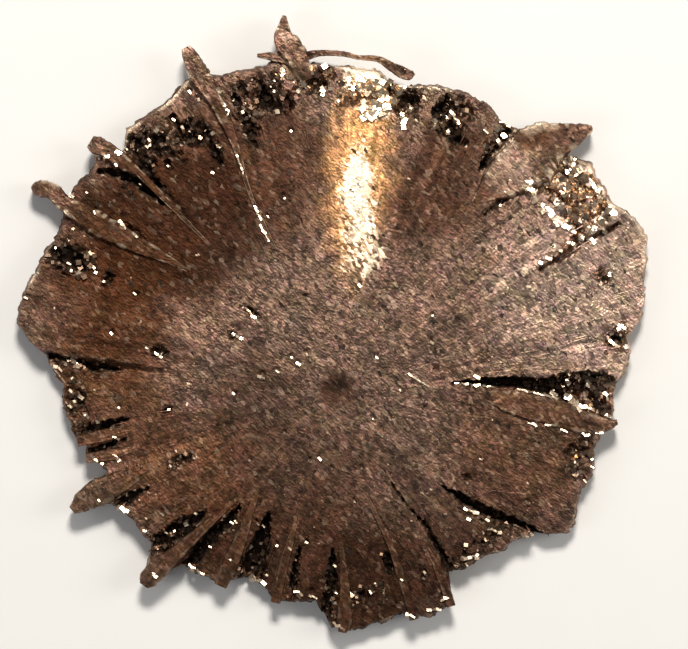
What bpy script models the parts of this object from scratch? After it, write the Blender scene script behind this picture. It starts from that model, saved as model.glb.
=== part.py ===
"""A pyrite sun: one flat disc of pyrite that grew outwards from a single point.

The growth centre is the origin, the disc lies flat on z = 0 and its better face looks up, along +Z.
Places on the disc are polar: an angle in degrees, anticlockwise from +X as seen from above, and a
distance from the growth centre. Distances in the lists are millimetres, and MM turns them to metres.
"""

import bisect
import math
import random

import bmesh
import bpy
from mathutils import Euler, Matrix, Vector

MM = 0.001
FORM_SEED = 11
SCATTER_SEED = 1

# The disc
HUB_HEIGHT = 4.7 * MM  # top of the face at the growth centre
RIM_DROP = 1.5 * MM  # fall of the face from the centre to the rim
DIMPLE_DEPTH = 0.45 * MM
DIMPLE_RADIUS = 1.3 * MM
REST_RADIUS = 21.0 * MM  # the underside is flat this far out
RIM_LIFT = 0.8 * MM  # height of the underside at the rim
MEAN_RADIUS = 38.0 * MM
SECTORS = 184
RELIEF_GROWTH = 1.5  # power of the distance by which waves and ribs grow
UNDER_FLUTING = 0.5  # share of the face's broad waves that the underside has
UNDER_TURN = 20  # degrees between the underside's waves and the face's

# The rim
WALL_BULGE = 0.35 * MM
WALL_JAG = 0.35 * MM
RIM_JAG = 0.22 * MM  # how far a rim point may lie off the line between two corners
JAG_GROWTH = 8  # power of the distance by which the jags fade in towards the rim

# Ledges and ribs
LEDGE_HALF_TURN = 0.35  # degrees from a ledge's line to its foot and to its brow
LEDGE_FADE = 11.0  # degrees over which a ledge's lift dies away
LEDGE_RUN = 9.0 * MM  # distance over which a ledge comes up to its full step
RIB_COUNT = 48
RIB_HALF_WIDTH = (1.6, 4.5)  # degrees from a rib's line to its foot
RIB_HEIGHT = (-0.2 * MM, 0.24 * MM)

# Sections of laths and crevices, as shares of their width or thickness
LATH_BACK = 0.68
LATH_FOOT = 0.75
LATH_SHOULDER = 0.3
CREVICE_MOUTH = 1.15
CREVICE_FLOOR = 0.55
CUTTER_RISE = 2 * MM  # how far a crevice's cutter stands above the face

# Pits and crystals
PIT_LUMPS = (0.85, 1.2)  # how far a pit's corners are pushed in or out
CRYSTAL_EDGES = (0.5, 1.0)  # a crystal's edge, as a share of the largest in its patch
CRYSTAL_SUNK = 0.3  # share of its edge by which a crystal's centre lies below the face
CUBE_REACH = math.sqrt(3) / 2  # from a cube's centre to a corner, for an edge of 1
LOWEST_CRYSTAL = 0.4 * MM  # no crystal reaches below this height
RIM_MARGIN = 0.2 * MM  # no crystal's centre is nearer to the rim

# Rings of the face: share of the way to the rim, and how many sectors one cell spans.
FACE_RINGS = [
    (0.012, 8), (0.035, 8), (0.07, 8), (0.13, 8), (0.20, 4), (0.30, 4), (0.41, 2), (0.53, 2),
    (0.64, 2), (0.74, 2), (0.83, 1), (0.92, 1), (1.0, 1),
]
# Rings of the underside: share of the way from the flat to the rim.
UNDER_RINGS = [(1.0, 1), (0.55, 2), (0.0, 4)]

# The rim's corners, anticlockwise: angle, distance.
RIM = [
    (0, 35.7), (1.4, 35.8), (2.9, 36.8), (5.2, 37.5), (7, 37.9), (9.2, 38.1), (10.6, 37.7), (11.4, 38.9),
    (12.4, 39.7), (13.5, 40.4), (15.7, 41.1), (18.8, 41.9), (22.2, 43.1), (26, 44.4), (28.5, 44.7),
    (31.5, 43.9), (34.5, 42.9), (38, 43.2), (41.5, 43.8), (44.5, 43.0), (47, 41.0), (54.5, 41.2),
    (57, 40.8), (59.5, 40.9), (62.5, 41.7), (66, 41.9), (69.5, 41.7), (74, 40.9), (79, 40.1),
    (82.5, 41.6), (86, 41.6), (89, 41.9), (93, 42.2), (97, 43.0), (101, 43.4), (104.5, 43.0),
    (110, 43.4), (112, 44.0), (116, 44.7), (119.5, 43.7), (122, 43.4), (129, 43.4), (131.5, 41.6),
    (134, 42.2), (136, 43.4), (139, 42.7), (142.5, 43.1), (148, 42.0), (150.5, 41.5), (155, 42.1),
    (159, 42.2), (163.5, 42.6), (168, 42.4), (171, 40.4), (173.2, 38.2), (175.1, 37.7), (177.5, 36.2),
    (179, 35.5), (182.5, 35.8), (184.7, 35.2), (187.5, 34.8), (190, 34.3), (192, 33.2), (194.8, 33.8),
    (197.6, 32.2), (199.4, 31.4), (201.5, 33.6), (204.5, 34.4), (207, 32.6), (209.2, 31.9), (212, 31.4),
    (219.5, 31.2), (222.5, 33.4), (225.5, 33.8), (228.5, 30.4), (234, 29.6), (238.5, 29.4),
    (241.5, 27.6), (245, 26.8), (249.5, 27.2), (253.5, 28.3), (258, 28.0), (264, 27.4), (266.5, 29.0),
    (268.5, 30.5), (272, 31.2), (276, 31.0), (280, 30.5), (286, 29.8), (288.5, 31.0), (292, 31.6),
    (298.3, 31.2), (299.8, 29.4), (301.3, 27.4), (304.6, 28.0), (309.9, 28.4), (312.6, 28.8),
    (315.5, 29.6), (320, 30.2), (324, 31.6), (327.5, 34.6), (330.5, 35.0), (334.5, 34.2), (338, 33.9),
    (341.5, 34.7), (344, 34.4), (347, 33.8), (349, 34.2), (351.5, 34.8), (354, 35.3), (356.3, 35.8),
]

# Broad waves that run out from the centre: crests in a full turn, height at the rim, angle of a crest.
FLUTES = [(3, 0.16, 84), (5, 0.14, 14), (8, 0.18, 85), (14, 0.11, 84), (23, 0.05, 35)]

# Narrow radial ribs and grooves at uneven places: angle, half width, height at the rim.
rib_chance = random.Random(FORM_SEED)
RIBS = [
    (rib_chance.uniform(0, 360), rib_chance.uniform(*RIB_HALF_WIDTH), rib_chance.uniform(*RIB_HEIGHT))
    for _ in range(RIB_COUNT)
]

# Radial ledges: angle, where they start, and the step up on the anticlockwise side at the rim.
LEDGES = [
    (32.6, 27, -0.9), (73.0, 20, -0.3), (91.5, 16, -0.5),
    (109.5, 26, 0.45), (173.4, 20, -1.0), (300.2, 11, -0.5),
]

# Laths that stand proud of the face. Each has its thickness and its stations from root to tip:
# angle, distance, width, and lift of its back above the face.
LATHS = {
    "north_west": (2.1, [
        (113.8, 19, 0.3, -0.1), (114.2, 27, 0.5, 0.2), (113.0, 33, 0.8, 0.4), (112.6, 37, 1.5, 0.55),
        (113.0, 41.3, 2.0, 0.8), (113.7, 44.6, 2.9, 1.0), (113.9, 47.6, 2.0, 1.0), (114.0, 48.7, 1.2, 0.9),
    ]),
    "west_north_west": (1.9, [
        (131.5, 25, 0.3, -0.1), (132.0, 30, 0.6, 0.15), (132.3, 35, 0.9, 0.4), (132.6, 38.5, 1.0, 0.6),
        (133.3, 40.4, 1.9, 0.85), (133.8, 43.0, 2.1, 0.95), (134.6, 44.7, 2.3, 0.9), (134.9, 45.6, 1.6, 0.7),
    ]),
    "west_hook": (2.2, [
        (141.5, 25, 0.4, -0.1), (144.0, 32, 2.4, 0.3), (145.2, 37, 3.2, 0.55), (145.4, 40.4, 3.0, 0.65),
        (145.8, 42.6, 2.1, 0.6), (145.2, 45.2, 2.2, 0.5), (146.0, 46.8, 2.4, 0.2), (147.0, 47.5, 1.2, -0.2),
    ]),
    "dart": (2.3, [
        (54, 30, 0.8, -0.1), (52, 34.5, 5.4, 0.45), (50.4, 38.5, 7.6, 0.95), (49.8, 41.5, 6.8, 0.85),
        (48.0, 44.2, 4.0, 0.55), (46.3, 46.9, 1.5, 0.3), (46.0, 47.6, 0.6, 0.2),
    ]),
    "spire": (2.6, [
        (95.8, 40.5, 1.8, 0.2), (96.7, 42.4, 2.6, 0.8), (97.2, 44.0, 3.0, 0.9), (98.5, 45.7, 3.4, 0.9),
        (98.8, 46.7, 2.5, 0.8), (98.5, 48.0, 1.4, 0.75), (98.2, 49.2, 0.6, 0.7),
    ]),
    "spire_splinter": (1.3, [(97.5, 43.2, 1.5, 0.3), (101, 44.2, 1.2, 0.3), (103.6, 44.8, 0.5, 0.2)]),
    "rim_thread": (1.5, [
        (96.2, 43.6, 1.4, -0.1), (93.1, 43.9, 0.8, 0.0), (89.0, 43.7, 0.7, 0.1), (86.4, 43.3, 0.6, 0.3),
        (83.2, 43.3, 0.8, 0.5), (81.0, 42.7, 1.2, 0.6), (78.7, 42.1, 1.6, 0.6), (76.9, 41.9, 1.3, 0.5),
        (76.5, 41.8, 0.6, 0.5),
    ]),
    "east": (2.0, [
        (359.4, 17, 0.3, -0.1), (356.2, 22, 3.0, 0.15), (354.9, 26, 4.0, 0.25), (352.9, 31, 3.4, 0.35),
        (352.4, 34.6, 2.3, 0.35), (353.4, 36.6, 0.7, 0.3),
    ]),
    "west_low_a": (1.7, [(190.8, 26.5, 0.5, -0.1), (191.0, 30.5, 1.7, 0.3), (191.2, 34.6, 1.4, 0.2)]),
    "west_low_b": (1.6, [(196.0, 27.5, 0.6, -0.1), (196.0, 30.5, 1.6, 0.2), (195.2, 34.0, 1.3, 0.1)]),
    "south_west_tooth": (2.0, [
        (203.0, 26, 0.6, -0.1), (203.0, 30.5, 3.0, 0.3), (203.1, 33.6, 3.8, 0.4), (203.4, 35.4, 3.2, 0.35),
        (204.0, 37.0, 2.2, 0.2), (204.4, 38.0, 1.2, 0.1),
    ]),
    "south_west_finger": (2.0, [
        (227.0, 19, 0.4, -0.1), (225.8, 25, 1.3, 0.5), (225.2, 30, 2.0, 0.6), (224.8, 33.0, 2.8, 0.4),
        (225.0, 35.0, 2.5, 0.2), (225.2, 35.9, 1.3, 0.0),
    ]),
    "south_west_rib": (1.8, [
        (231.5, 16.5, 0.4, -0.1), (236.2, 22, 1.6, 0.4), (238.2, 26.5, 2.3, 0.4), (239.0, 29.8, 1.7, 0.2),
    ]),
    "south_rib_a": (1.6, [(252.2, 16.5, 0.4, -0.1), (252.6, 22, 1.2, 0.35), (253.6, 28.9, 1.3, 0.2)]),
    "south_rib_b": (1.8, [
        (271, 19.5, 0.4, -0.1), (272.0, 25, 1.3, 0.3), (271.6, 30, 2.0, 0.3), (271.0, 31.6, 1.1, 0.1),
    ]),
    "south_rib_c": (1.6, [
        (285.0, 13.5, 0.3, -0.1), (288.4, 20, 0.8, 0.3), (288.7, 25, 1.0, 0.35), (288.4, 31.5, 1.2, 0.2),
    ]),
    "south_rib_d": (1.6, [(299.5, 23.5, 0.4, -0.1), (299.0, 27.4, 1.3, 0.25), (297.6, 31.8, 1.2, 0.1)]),
}

# Crevices: depth, then stations of angle, distance and width.
CREVICES = [
    (3.0, [
        (3.5, 15.0, 0.3), (3.2, 19.5, 1.2), (2.4, 23.5, 1.5), (1.0, 27.2, 2.1), (0.8, 29.8, 4.0),
        (0.0, 32.0, 4.9), (-0.6, 34.2, 5.2),
    ]),
    (1.1, [(-0.4, 33.0, 4.6), (-1.4, 35.4, 4.6), (-1.8, 38, 4.4)]),
    (1.9, [(317.4, 18.6, 0.3), (319, 21.5, 1.2), (321.2, 25.5, 1.5), (323.2, 29, 1.1), (325, 32.2, 0.7)]),
    (1.1, [
        (298.8, 11.5, 0.15), (301.0, 18, 0.4), (303.0, 20.8, 0.7), (302.4, 23.5, 0.9), (302.2, 26.3, 1.2),
        (301.8, 29.5, 1.4),
    ]),
    (1.5, [
        (131.0, 33, 0.3), (131.2, 35.5, 0.7), (131.2, 37.5, 0.9), (130.3, 39.2, 1.8), (129.2, 40.6, 2.4),
        (129.3, 42.2, 1.2),
    ]),
    (1.4, [
        (133.2, 33, 0.3), (133.5, 35.3, 0.9), (133.8, 37.2, 1.2), (134.8, 39.6, 1.6), (136.2, 41.0, 1.2),
        (137.5, 42.0, 0.8),
    ]),
    (1.6, [(57.4, 34, 0.5), (57.2, 38, 1.5), (57.0, 42.0, 1.3)]),
    (1.1, [(50.4, 29.6, 0.3), (49.2, 32.5, 0.9), (47.8, 35.0, 0.6)]),
    (1.5, [
        (46, 37.6, 0.8), (41.5, 38.4, 1.0), (39, 38.6, 1.2), (36.6, 37.7, 1.2), (33.2, 37.5, 1.3),
        (31.2, 36.2, 1.2), (30.6, 33.4, 1.0), (31.0, 30.4, 0.5),
    ]),
    (1.2, [(31.4, 37.9, 1.0), (30.8, 40.0, 0.9), (30.6, 42.2, 0.7)]),
    (1.8, [(69.5, 40.6, 0.8), (69.8, 38.8, 2.0), (68.4, 37.2, 2.4), (65.2, 36.2, 1.6), (62.4, 36.0, 0.6)]),
    (1.4, [(174.8, 28.5, 0.3), (174.4, 30.2, 1.0), (174.6, 32, 1.5), (173.8, 34, 0.8), (173.0, 39, 0.8)]),
    (1.8, [(188.0, 27.6, 0.4), (188.6, 30.7, 1.4), (188.8, 33, 1.3), (188.4, 36.5, 1.2)]),
    (1.7, [(193.0, 28.6, 0.4), (193.6, 31, 1.1), (194.0, 32.3, 1.2), (193.6, 35.5, 1.3)]),
    (1.5, [(207.4, 28, 0.4), (207.2, 30.4, 1.5), (208.4, 34.0, 1.2)]),
    (1.9, [(222.4, 23.4, 0.5), (221.8, 26.5, 2.6), (220.6, 29.5, 2.4), (219.8, 33.0, 1.2)]),
    (1.9, [(229.5, 19.6, 0.4), (230.1, 21.9, 1.5), (228.9, 24.6, 2.0), (229.4, 27, 1.7), (230.6, 32.2, 2.2)]),
    (2.1, [(240.6, 18.4, 0.5), (243, 21.5, 2.4), (244.4, 25, 3.2), (245.4, 29.5, 3.6)]),
    (1.5, [(256.4, 21.2, 0.4), (256.8, 24.8, 1.0), (257.2, 29.5, 1.2)]),
    (1.5, [(268.2, 20.8, 0.4), (268.2, 24.5, 1.4), (267.0, 28.5, 1.5), (266.0, 31.0, 1.5)]),
]

# Pits: angle, distance, length along the radius, width across it, depth.
PITS = [
    (104, 39.2, 3.4, 2.6, 1.7), (94.0, 40.0, 2.2, 2.6, 1.6), (108.8, 34.8, 3.0, 1.4, 1.3),
    (120.8, 38.6, 3.0, 3.2, 1.8), (117.0, 36.2, 5.2, 1.3, 1.3), (126.2, 39.6, 3.0, 2.6, 1.6),
    (126.9, 36.8, 1.1, 1.0, 0.8), (109.4, 39.6, 3.0, 1.3, 1.2), (154.0, 38.8, 5.0, 3.0, 1.6),
    (154.7, 33.2, 1.1, 2.3, 0.9), (167.8, 23.8, 2.8, 1.4, 1.0), (138.0, 14.9, 2.6, 1.0, 0.9),
    (152.6, 15.5, 1.5, 1.3, 0.7), (187.0, 22.3, 1.7, 1.1, 0.9), (204.0, 22.4, 4.0, 1.2, 1.0),
    (286.4, 23.4, 2.8, 1.7, 1.2), (277.5, 27.0, 1.4, 1.7, 0.9), (326.0, 20.2, 1.1, 0.9, 0.7),
    (76.6, 38.9, 1.8, 3.8, 1.6), (84.0, 38.0, 1.5, 3.4, 1.1), (22.8, 37.5, 1.6, 2.9, 0.9),
    (10.2, 36.6, 2.6, 2.0, 1.3), (142.0, 33.6, 4.0, 0.9, 0.8), (345.2, 31.6, 2.2, 2.2, 1.1),
    (99.6, 38.0, 2.2, 1.4, 1.1), (13.5, 13.0, 1.3, 0.9, 0.5), (348.5, 11.5, 1.8, 0.8, 0.5),
]

# Patches of cubic crystals: angle, distance, half width along the radius, half width across it, how many,
# largest edge, depth below the face.
CRYSTAL_PATCHES = [
    (39.5, 40.0, 2.4, 4.0, 11, 1.7, 0.0), (120.8, 38.8, 1.4, 1.6, 3, 1.3, 1.5),
    (127.0, 40.2, 1.4, 1.8, 3, 1.3, 0.8), (104.5, 40.6, 2.0, 2.8, 5, 1.4, 0.5),
    (94.0, 40.6, 1.2, 2.2, 4, 1.4, 0.7), (84.0, 38.6, 1.8, 4.2, 8, 1.7, 0.0),
    (67.0, 38.8, 1.4, 1.4, 5, 1.2, 0.3), (58.0, 38.0, 2.4, 0.8, 3, 1.2, 0.6),
    (154.0, 39.2, 2.4, 1.8, 5, 1.3, 0.9), (183.0, 34.2, 0.8, 3.2, 4, 1.3, 0.0),
    (221.5, 27.6, 1.6, 0.9, 2, 1.1, 1.6), (244.0, 25.0, 1.4, 1.0, 3, 1.3, 1.8),
    (1.5, 30.0, 1.6, 1.0, 2, 1.5, 2.7), (345.0, 33.0, 1.2, 2.2, 4, 1.3, 0.2),
    (8.5, 36.6, 1.0, 1.4, 2, 1.3, 0.0), (281.0, 27.4, 1.0, 1.6, 3, 1.1, 0.0),
    (310.0, 27.4, 0.8, 2.0, 4, 1.2, 0.0),
]


def turn_from(line, angle):
    """Degrees from line round to angle, between -180 and 180."""
    return (angle - line + 180) % 360 - 180


def ease(value):
    """Rises smoothly from 0 to 1 as value does."""
    value = min(max(value, 0.0), 1.0)
    return value * value * (3 - 2 * value)


def rim_radius(angle):
    """Distance of the rim at an angle, straight from one corner to the next."""
    angle = angle % 360
    after = bisect.bisect_right([corner[0] for corner in RIM], angle)
    low_angle, low = RIM[after - 1]
    high_angle, high = RIM[after % len(RIM)]
    share = (angle - low_angle) / ((high_angle - low_angle) % 360)
    return (low + (high - low) * share) * MM


def fluting(angle):
    """Height of the broad radial waves at the rim."""
    return MM * sum(
        height * math.cos(math.radians(crests * (angle - crest))) for crests, height, crest in FLUTES
    )


def ribbing(angle):
    """Height of the narrow ribs at the rim: straight flanks that meet on each rib's line."""
    return sum(height * max(0.0, 1 - abs(turn_from(line, angle)) / half) for line, half, height in RIBS)


def ledge_lift(angle, radius):
    """Half of each ledge's step on either side of its line, dying away to both sides and inwards."""
    lift = 0.0
    for line, start, step in LEDGES:
        turn = turn_from(line, angle)
        side = max(-1.0, min(1.0, turn / LEDGE_HALF_TURN))
        rise = ease((radius - start * MM) / LEDGE_RUN)
        lift += 0.5 * step * MM * side * rise * math.exp(-abs(turn) / LEDGE_FADE)
    return lift


def face_height(angle, radius):
    """Height of the upper face: a low dome with a dimple at the centre, waves and ledges."""
    share = min(radius / rim_radius(angle), 1.0)
    dome = HUB_HEIGHT - RIM_DROP * share**2
    dimple = DIMPLE_DEPTH * math.exp(-((radius / DIMPLE_RADIUS) ** 2))
    relief = share**RELIEF_GROWTH * (fluting(angle) + ribbing(angle))
    return dome - dimple + relief + ledge_lift(angle, radius)


def underside_height(angle, share):
    """Height of the underside from its flat, at share 0, to the rim, at share 1."""
    return ease(share) * (RIM_LIFT + UNDER_FLUTING * fluting(angle + UNDER_TURN))


def point(angle, radius, height):
    """A place on the disc as X, Y and Z."""
    turn = math.radians(angle)
    return Vector((radius * math.cos(turn), radius * math.sin(turn), height))


def on_face(angle, radius, lift=0.0):
    """A place at lift above the face, which runs on level beyond the rim."""
    return point(angle, radius, face_height(angle, min(radius, rim_radius(angle))) + lift)


def sector_angles():
    """Even sectors, with a pair of lines drawn to each ledge and the nearest line to each rim corner."""
    step = 360 / SECTORS
    angles = [index * step for index in range(SECTORS)]
    taken = set()
    for line, _, _ in LEDGES:
        low = int(line // step)
        angles[low] = line - LEDGE_HALF_TURN
        angles[low + 1] = line + LEDGE_HALF_TURN
        taken |= {low, low + 1}
    for corner, _ in RIM:
        near = round(corner / step) % SECTORS
        if near not in taken:
            angles[near] = corner
            taken.add(near)
    return angles


def stitch(mesh, inner, outer):
    """Faces that look up, between two rings. The outer ring has as many points as the inner one or twice
    as many."""
    count = len(inner)
    for index in range(count):
        after = (index + 1) % count
        if len(outer) == count:
            mesh.faces.new((inner[index], outer[index], outer[after], inner[after]))
            continue
        first, middle, last = outer[2 * index], outer[2 * index + 1], outer[(2 * index + 2) % len(outer)]
        mesh.faces.new((inner[index], first, middle))
        mesh.faces.new((inner[index], middle, inner[after]))
        mesh.faces.new((inner[after], middle, last))


def stitch_down(mesh, outer, inner):
    """Faces that look down, between two rings. The inner ring has as many points as the outer one or half
    as many."""
    count = len(inner)
    for index in range(count):
        after = (index + 1) % count
        if len(outer) == count:
            mesh.faces.new((inner[index], inner[after], outer[after], outer[index]))
            continue
        first, middle, last = outer[2 * index], outer[2 * index + 1], outer[(2 * index + 2) % len(outer)]
        mesh.faces.new((inner[index], middle, first))
        mesh.faces.new((inner[index], inner[after], middle))
        mesh.faces.new((inner[after], last, middle))


def add_face(mesh, angles, jags):
    """The upper face as rings about the centre. Gives back the ring at the rim."""
    centre = mesh.verts.new(point(0, 0, face_height(0, 0)))
    before = None
    for share, span in FACE_RINGS:
        ring = []
        for angle, jag in zip(angles[::span], jags[::span]):
            radius = share * (MEAN_RADIUS + (rim_radius(angle) - MEAN_RADIUS) * share**2)
            radius += jag * share**JAG_GROWTH
            ring.append(mesh.verts.new(point(angle, radius, face_height(angle, radius))))
        if before is None:
            for index, vert in enumerate(ring):
                mesh.faces.new((centre, vert, ring[(index + 1) % len(ring)]))
        else:
            stitch(mesh, before, ring)
        before = ring
    return before


def add_wall(mesh, angles, rim, chance):
    """The rim's rough wall, fullest near half height. Gives back its lower ring."""
    ring = []
    for angle in angles:
        radius = rim_radius(angle)
        middle = 0.5 * (face_height(angle, radius) + underside_height(angle, 1.0))
        out = radius + WALL_BULGE + chance.uniform(-WALL_JAG, WALL_JAG)
        ring.append(mesh.verts.new(point(angle, out, middle + chance.uniform(-WALL_JAG, WALL_JAG))))
    stitch(mesh, rim, ring)
    return ring


def add_underside(mesh, angles, wall):
    """The underside: rings that come in and down from the rim to one flat face on z = 0."""
    before = wall
    for share, span in UNDER_RINGS:
        ring = []
        for angle in angles[::span]:
            radius = REST_RADIUS + (rim_radius(angle) - REST_RADIUS) * share
            ring.append(mesh.verts.new(point(angle, radius, underside_height(angle, share))))
        stitch_down(mesh, before, ring)
        before = ring
    mesh.faces.new(list(reversed(before)))


def new_object(name, mesh):
    """An object in the scene from a bmesh."""
    data = bpy.data.meshes.new(name)
    mesh.normal_update()
    mesh.to_mesh(data)
    mesh.free()
    made = bpy.data.objects.new(name, data)
    bpy.context.scene.collection.objects.link(made)
    return made


def make_helper(name, mesh, collection):
    """A shape that only joins or cuts the disc, kept out of renders."""
    made = new_object(name, mesh)
    bpy.context.scene.collection.objects.unlink(made)
    collection.objects.link(made)
    made.hide_render = True
    made.display_type = "WIRE"


def new_collection(name):
    made = bpy.data.collections.new(name)
    bpy.context.scene.collection.children.link(made)
    return made


def make_disc(chance):
    """The disc before anything is joined to it or cut from it, in triangles so that each face is flat."""
    mesh = bmesh.new()
    angles = sector_angles()
    jags = [chance.uniform(-RIM_JAG, RIM_JAG) for _ in angles]
    rim = add_face(mesh, angles, jags)
    wall = add_wall(mesh, angles, rim, chance)
    add_underside(mesh, angles, wall)
    bmesh.ops.triangulate(mesh, faces=mesh.faces)
    return new_object("pyrite_sun", mesh)


def sweep(places, sections):
    """A closed bar in triangles: one section of points, across and up, at each place along a path."""
    mesh = bmesh.new()
    before = None
    for index, (place, section) in enumerate(zip(places, sections)):
        back, ahead = places[max(index - 1, 0)], places[min(index + 1, len(places) - 1)]
        along = Vector((ahead.x - back.x, ahead.y - back.y, 0)).normalized()
        across = Vector((along.y, -along.x, 0))
        ring = [mesh.verts.new(place + across * side + Vector((0, 0, up))) for side, up in section]
        if before is None:
            mesh.faces.new(list(reversed(ring)))
        else:
            for corner in range(len(ring)):
                after = (corner + 1) % len(ring)
                mesh.faces.new((before[corner], before[after], ring[after], ring[corner]))
        before = ring
    mesh.faces.new(before)
    bmesh.ops.recalc_face_normals(mesh, faces=mesh.faces)
    bmesh.ops.triangulate(mesh, faces=mesh.faces)
    return mesh


def lath_section(width, thickness):
    """A flat-backed lath with chamfered sides: its back is at height 0."""
    half = width / 2
    back, foot, shoulder = half * LATH_BACK, half * LATH_FOOT, -thickness * LATH_SHOULDER
    return [
        (-back, 0), (back, 0), (half, shoulder),
        (foot, -thickness), (-foot, -thickness), (-half, shoulder),
    ]


def crevice_section(width, depth):
    """A cutter that is wide open above and narrow at its floor, which is at minus depth."""
    mouth, floor = width / 2 * CREVICE_MOUTH, width / 2 * CREVICE_FLOOR
    return [(-mouth, CUTTER_RISE), (mouth, CUTTER_RISE), (floor, -depth), (-floor, -depth)]


def make_lath(name, thickness, stations, collection):
    places = [on_face(angle, radius * MM, lift * MM) for angle, radius, _, lift in stations]
    sections = [lath_section(width * MM, thickness * MM) for _, _, width, _ in stations]
    make_helper("lath_" + name, sweep(places, sections), collection)


def make_crevice(index, depth, stations, collection):
    places = [on_face(angle, radius * MM) for angle, radius, _ in stations]
    sections = [crevice_section(width * MM, depth * MM) for _, _, width in stations]
    make_helper(f"crevice_{index:02d}", sweep(places, sections), collection)


def make_pit(index, angle, radius, length, width, depth, collection, chance):
    """A lumpy hollow: a stretched ball of twenty faces, each corner pushed in or out a little."""
    mesh = bmesh.new()
    bmesh.ops.create_icosphere(mesh, subdivisions=1, radius=1.0)
    turn = Euler([chance.uniform(0, 2 * math.pi) for _ in range(3)]).to_matrix()
    bmesh.ops.rotate(mesh, verts=mesh.verts, matrix=turn)
    for vert in mesh.verts:
        vert.co *= chance.uniform(*PIT_LUMPS)
    place = Matrix.Translation(on_face(angle, radius * MM)) @ Matrix.Rotation(math.radians(angle), 4, "Z")
    size = Matrix.Diagonal((length / 2 * MM, width / 2 * MM, depth * MM, 1))
    bmesh.ops.transform(mesh, matrix=place @ size, verts=mesh.verts)
    make_helper(f"pit_{index:02d}", mesh, collection)


def make_crystal(name, place, edge, collection, chance):
    """A cube of pyrite set at any turn."""
    mesh = bmesh.new()
    turn = Euler([chance.uniform(0, math.pi) for _ in range(3)]).to_matrix().to_4x4()
    bmesh.ops.create_cube(mesh, size=edge, matrix=Matrix.Translation(place) @ turn)
    make_helper(name, mesh, collection)


def make_crystal_patch(index, patch, collection, chance):
    """Cubes scattered over a patch, each about half sunk in the face or in the patch's hollow."""
    angle, radius, along, across, count, largest, sunk = patch
    for number in range(count):
        out = (radius + chance.uniform(-along, along)) * MM
        turned = angle + math.degrees(chance.uniform(-across, across) / radius)
        edge = largest * chance.uniform(*CRYSTAL_EDGES) * MM
        place = on_face(turned, min(out, rim_radius(turned) - RIM_MARGIN), -sunk * MM - CRYSTAL_SUNK * edge)
        place.z = max(place.z, LOWEST_CRYSTAL + CUBE_REACH * edge)
        make_crystal(f"crystal_{index:02d}_{number:02d}", place, edge, collection, chance)


def add_boolean(target, name, operation, collection):
    modifier = target.modifiers.new(name, "BOOLEAN")
    modifier.operation = operation
    modifier.operand_type = "COLLECTION"
    modifier.collection = collection
    modifier.solver = "EXACT"


def make_material():
    """Tarnished pyrite: brown to bronze, with a dull metal shine."""
    material = bpy.data.materials.new("tarnished_pyrite")
    material.use_nodes = True
    shader = material.node_tree.nodes["Principled BSDF"]
    shader.inputs["Base Color"].default_value = (0.27, 0.18, 0.12, 1.0)
    shader.inputs["Metallic"].default_value = 0.85
    shader.inputs["Roughness"].default_value = 0.42
    return material


def main():
    for old in list(bpy.data.objects):
        bpy.data.objects.remove(old)
    disc = make_disc(random.Random(FORM_SEED))
    disc.data.materials.append(make_material())
    chance = random.Random(SCATTER_SEED)
    hollows = new_collection("hollows")
    growths = new_collection("growths")
    for index, (depth, stations) in enumerate(CREVICES):
        make_crevice(index, depth, stations, hollows)
    for index, pit in enumerate(PITS):
        make_pit(index, *pit, hollows, chance)
    for name, (thickness, stations) in LATHS.items():
        make_lath(name, thickness, stations, growths)
    for index, patch in enumerate(CRYSTAL_PATCHES):
        make_crystal_patch(index, patch, growths, chance)
    add_boolean(disc, "cut_hollows", "DIFFERENCE", hollows)
    add_boolean(disc, "join_growths", "UNION", growths)


main()
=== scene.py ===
"""The looks of a pyrite sun: its fine surface, crystals, fibres and finish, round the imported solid.

The growth centre is the origin, the disc lies on z = 0 and its better face looks up. Places are polar:
an angle in degrees, anticlockwise from +X, and a distance from the growth centre, which is in millimetres
in the lists and in metres in the functions.
"""

import math
import random

import bpy
import numpy as np
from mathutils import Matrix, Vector


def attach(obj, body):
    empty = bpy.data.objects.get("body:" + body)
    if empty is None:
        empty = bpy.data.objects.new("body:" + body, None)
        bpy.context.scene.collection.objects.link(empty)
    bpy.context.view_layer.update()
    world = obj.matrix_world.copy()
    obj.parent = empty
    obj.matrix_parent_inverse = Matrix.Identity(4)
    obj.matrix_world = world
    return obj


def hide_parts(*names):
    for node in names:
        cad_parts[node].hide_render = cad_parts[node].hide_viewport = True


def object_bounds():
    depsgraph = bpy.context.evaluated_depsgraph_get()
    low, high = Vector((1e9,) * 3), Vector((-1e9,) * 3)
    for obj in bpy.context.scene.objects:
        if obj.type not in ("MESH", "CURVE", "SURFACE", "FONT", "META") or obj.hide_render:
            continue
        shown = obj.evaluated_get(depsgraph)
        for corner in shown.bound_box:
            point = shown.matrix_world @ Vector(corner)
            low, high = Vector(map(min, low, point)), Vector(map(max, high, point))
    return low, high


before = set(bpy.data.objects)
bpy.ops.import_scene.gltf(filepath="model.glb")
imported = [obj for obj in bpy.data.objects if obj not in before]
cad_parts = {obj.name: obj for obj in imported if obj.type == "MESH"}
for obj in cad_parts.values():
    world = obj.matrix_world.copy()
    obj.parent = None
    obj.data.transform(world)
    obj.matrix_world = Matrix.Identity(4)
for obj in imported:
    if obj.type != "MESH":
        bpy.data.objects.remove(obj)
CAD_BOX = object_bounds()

bl_info = {
    "name": "Pyrite Sun",
    "version": (1, 0, 0),
    "blender": (4, 5, 0),
    "location": "3D Viewport > Sidebar > Pyrite Sun",
    "description": "Dresses a pyrite sun: radiating disc, raised laths, cubic crystals, fibres and grains",
    "category": "Add Mesh",
}

MM = 0.001
NODE = "pyrite_sun"

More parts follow.
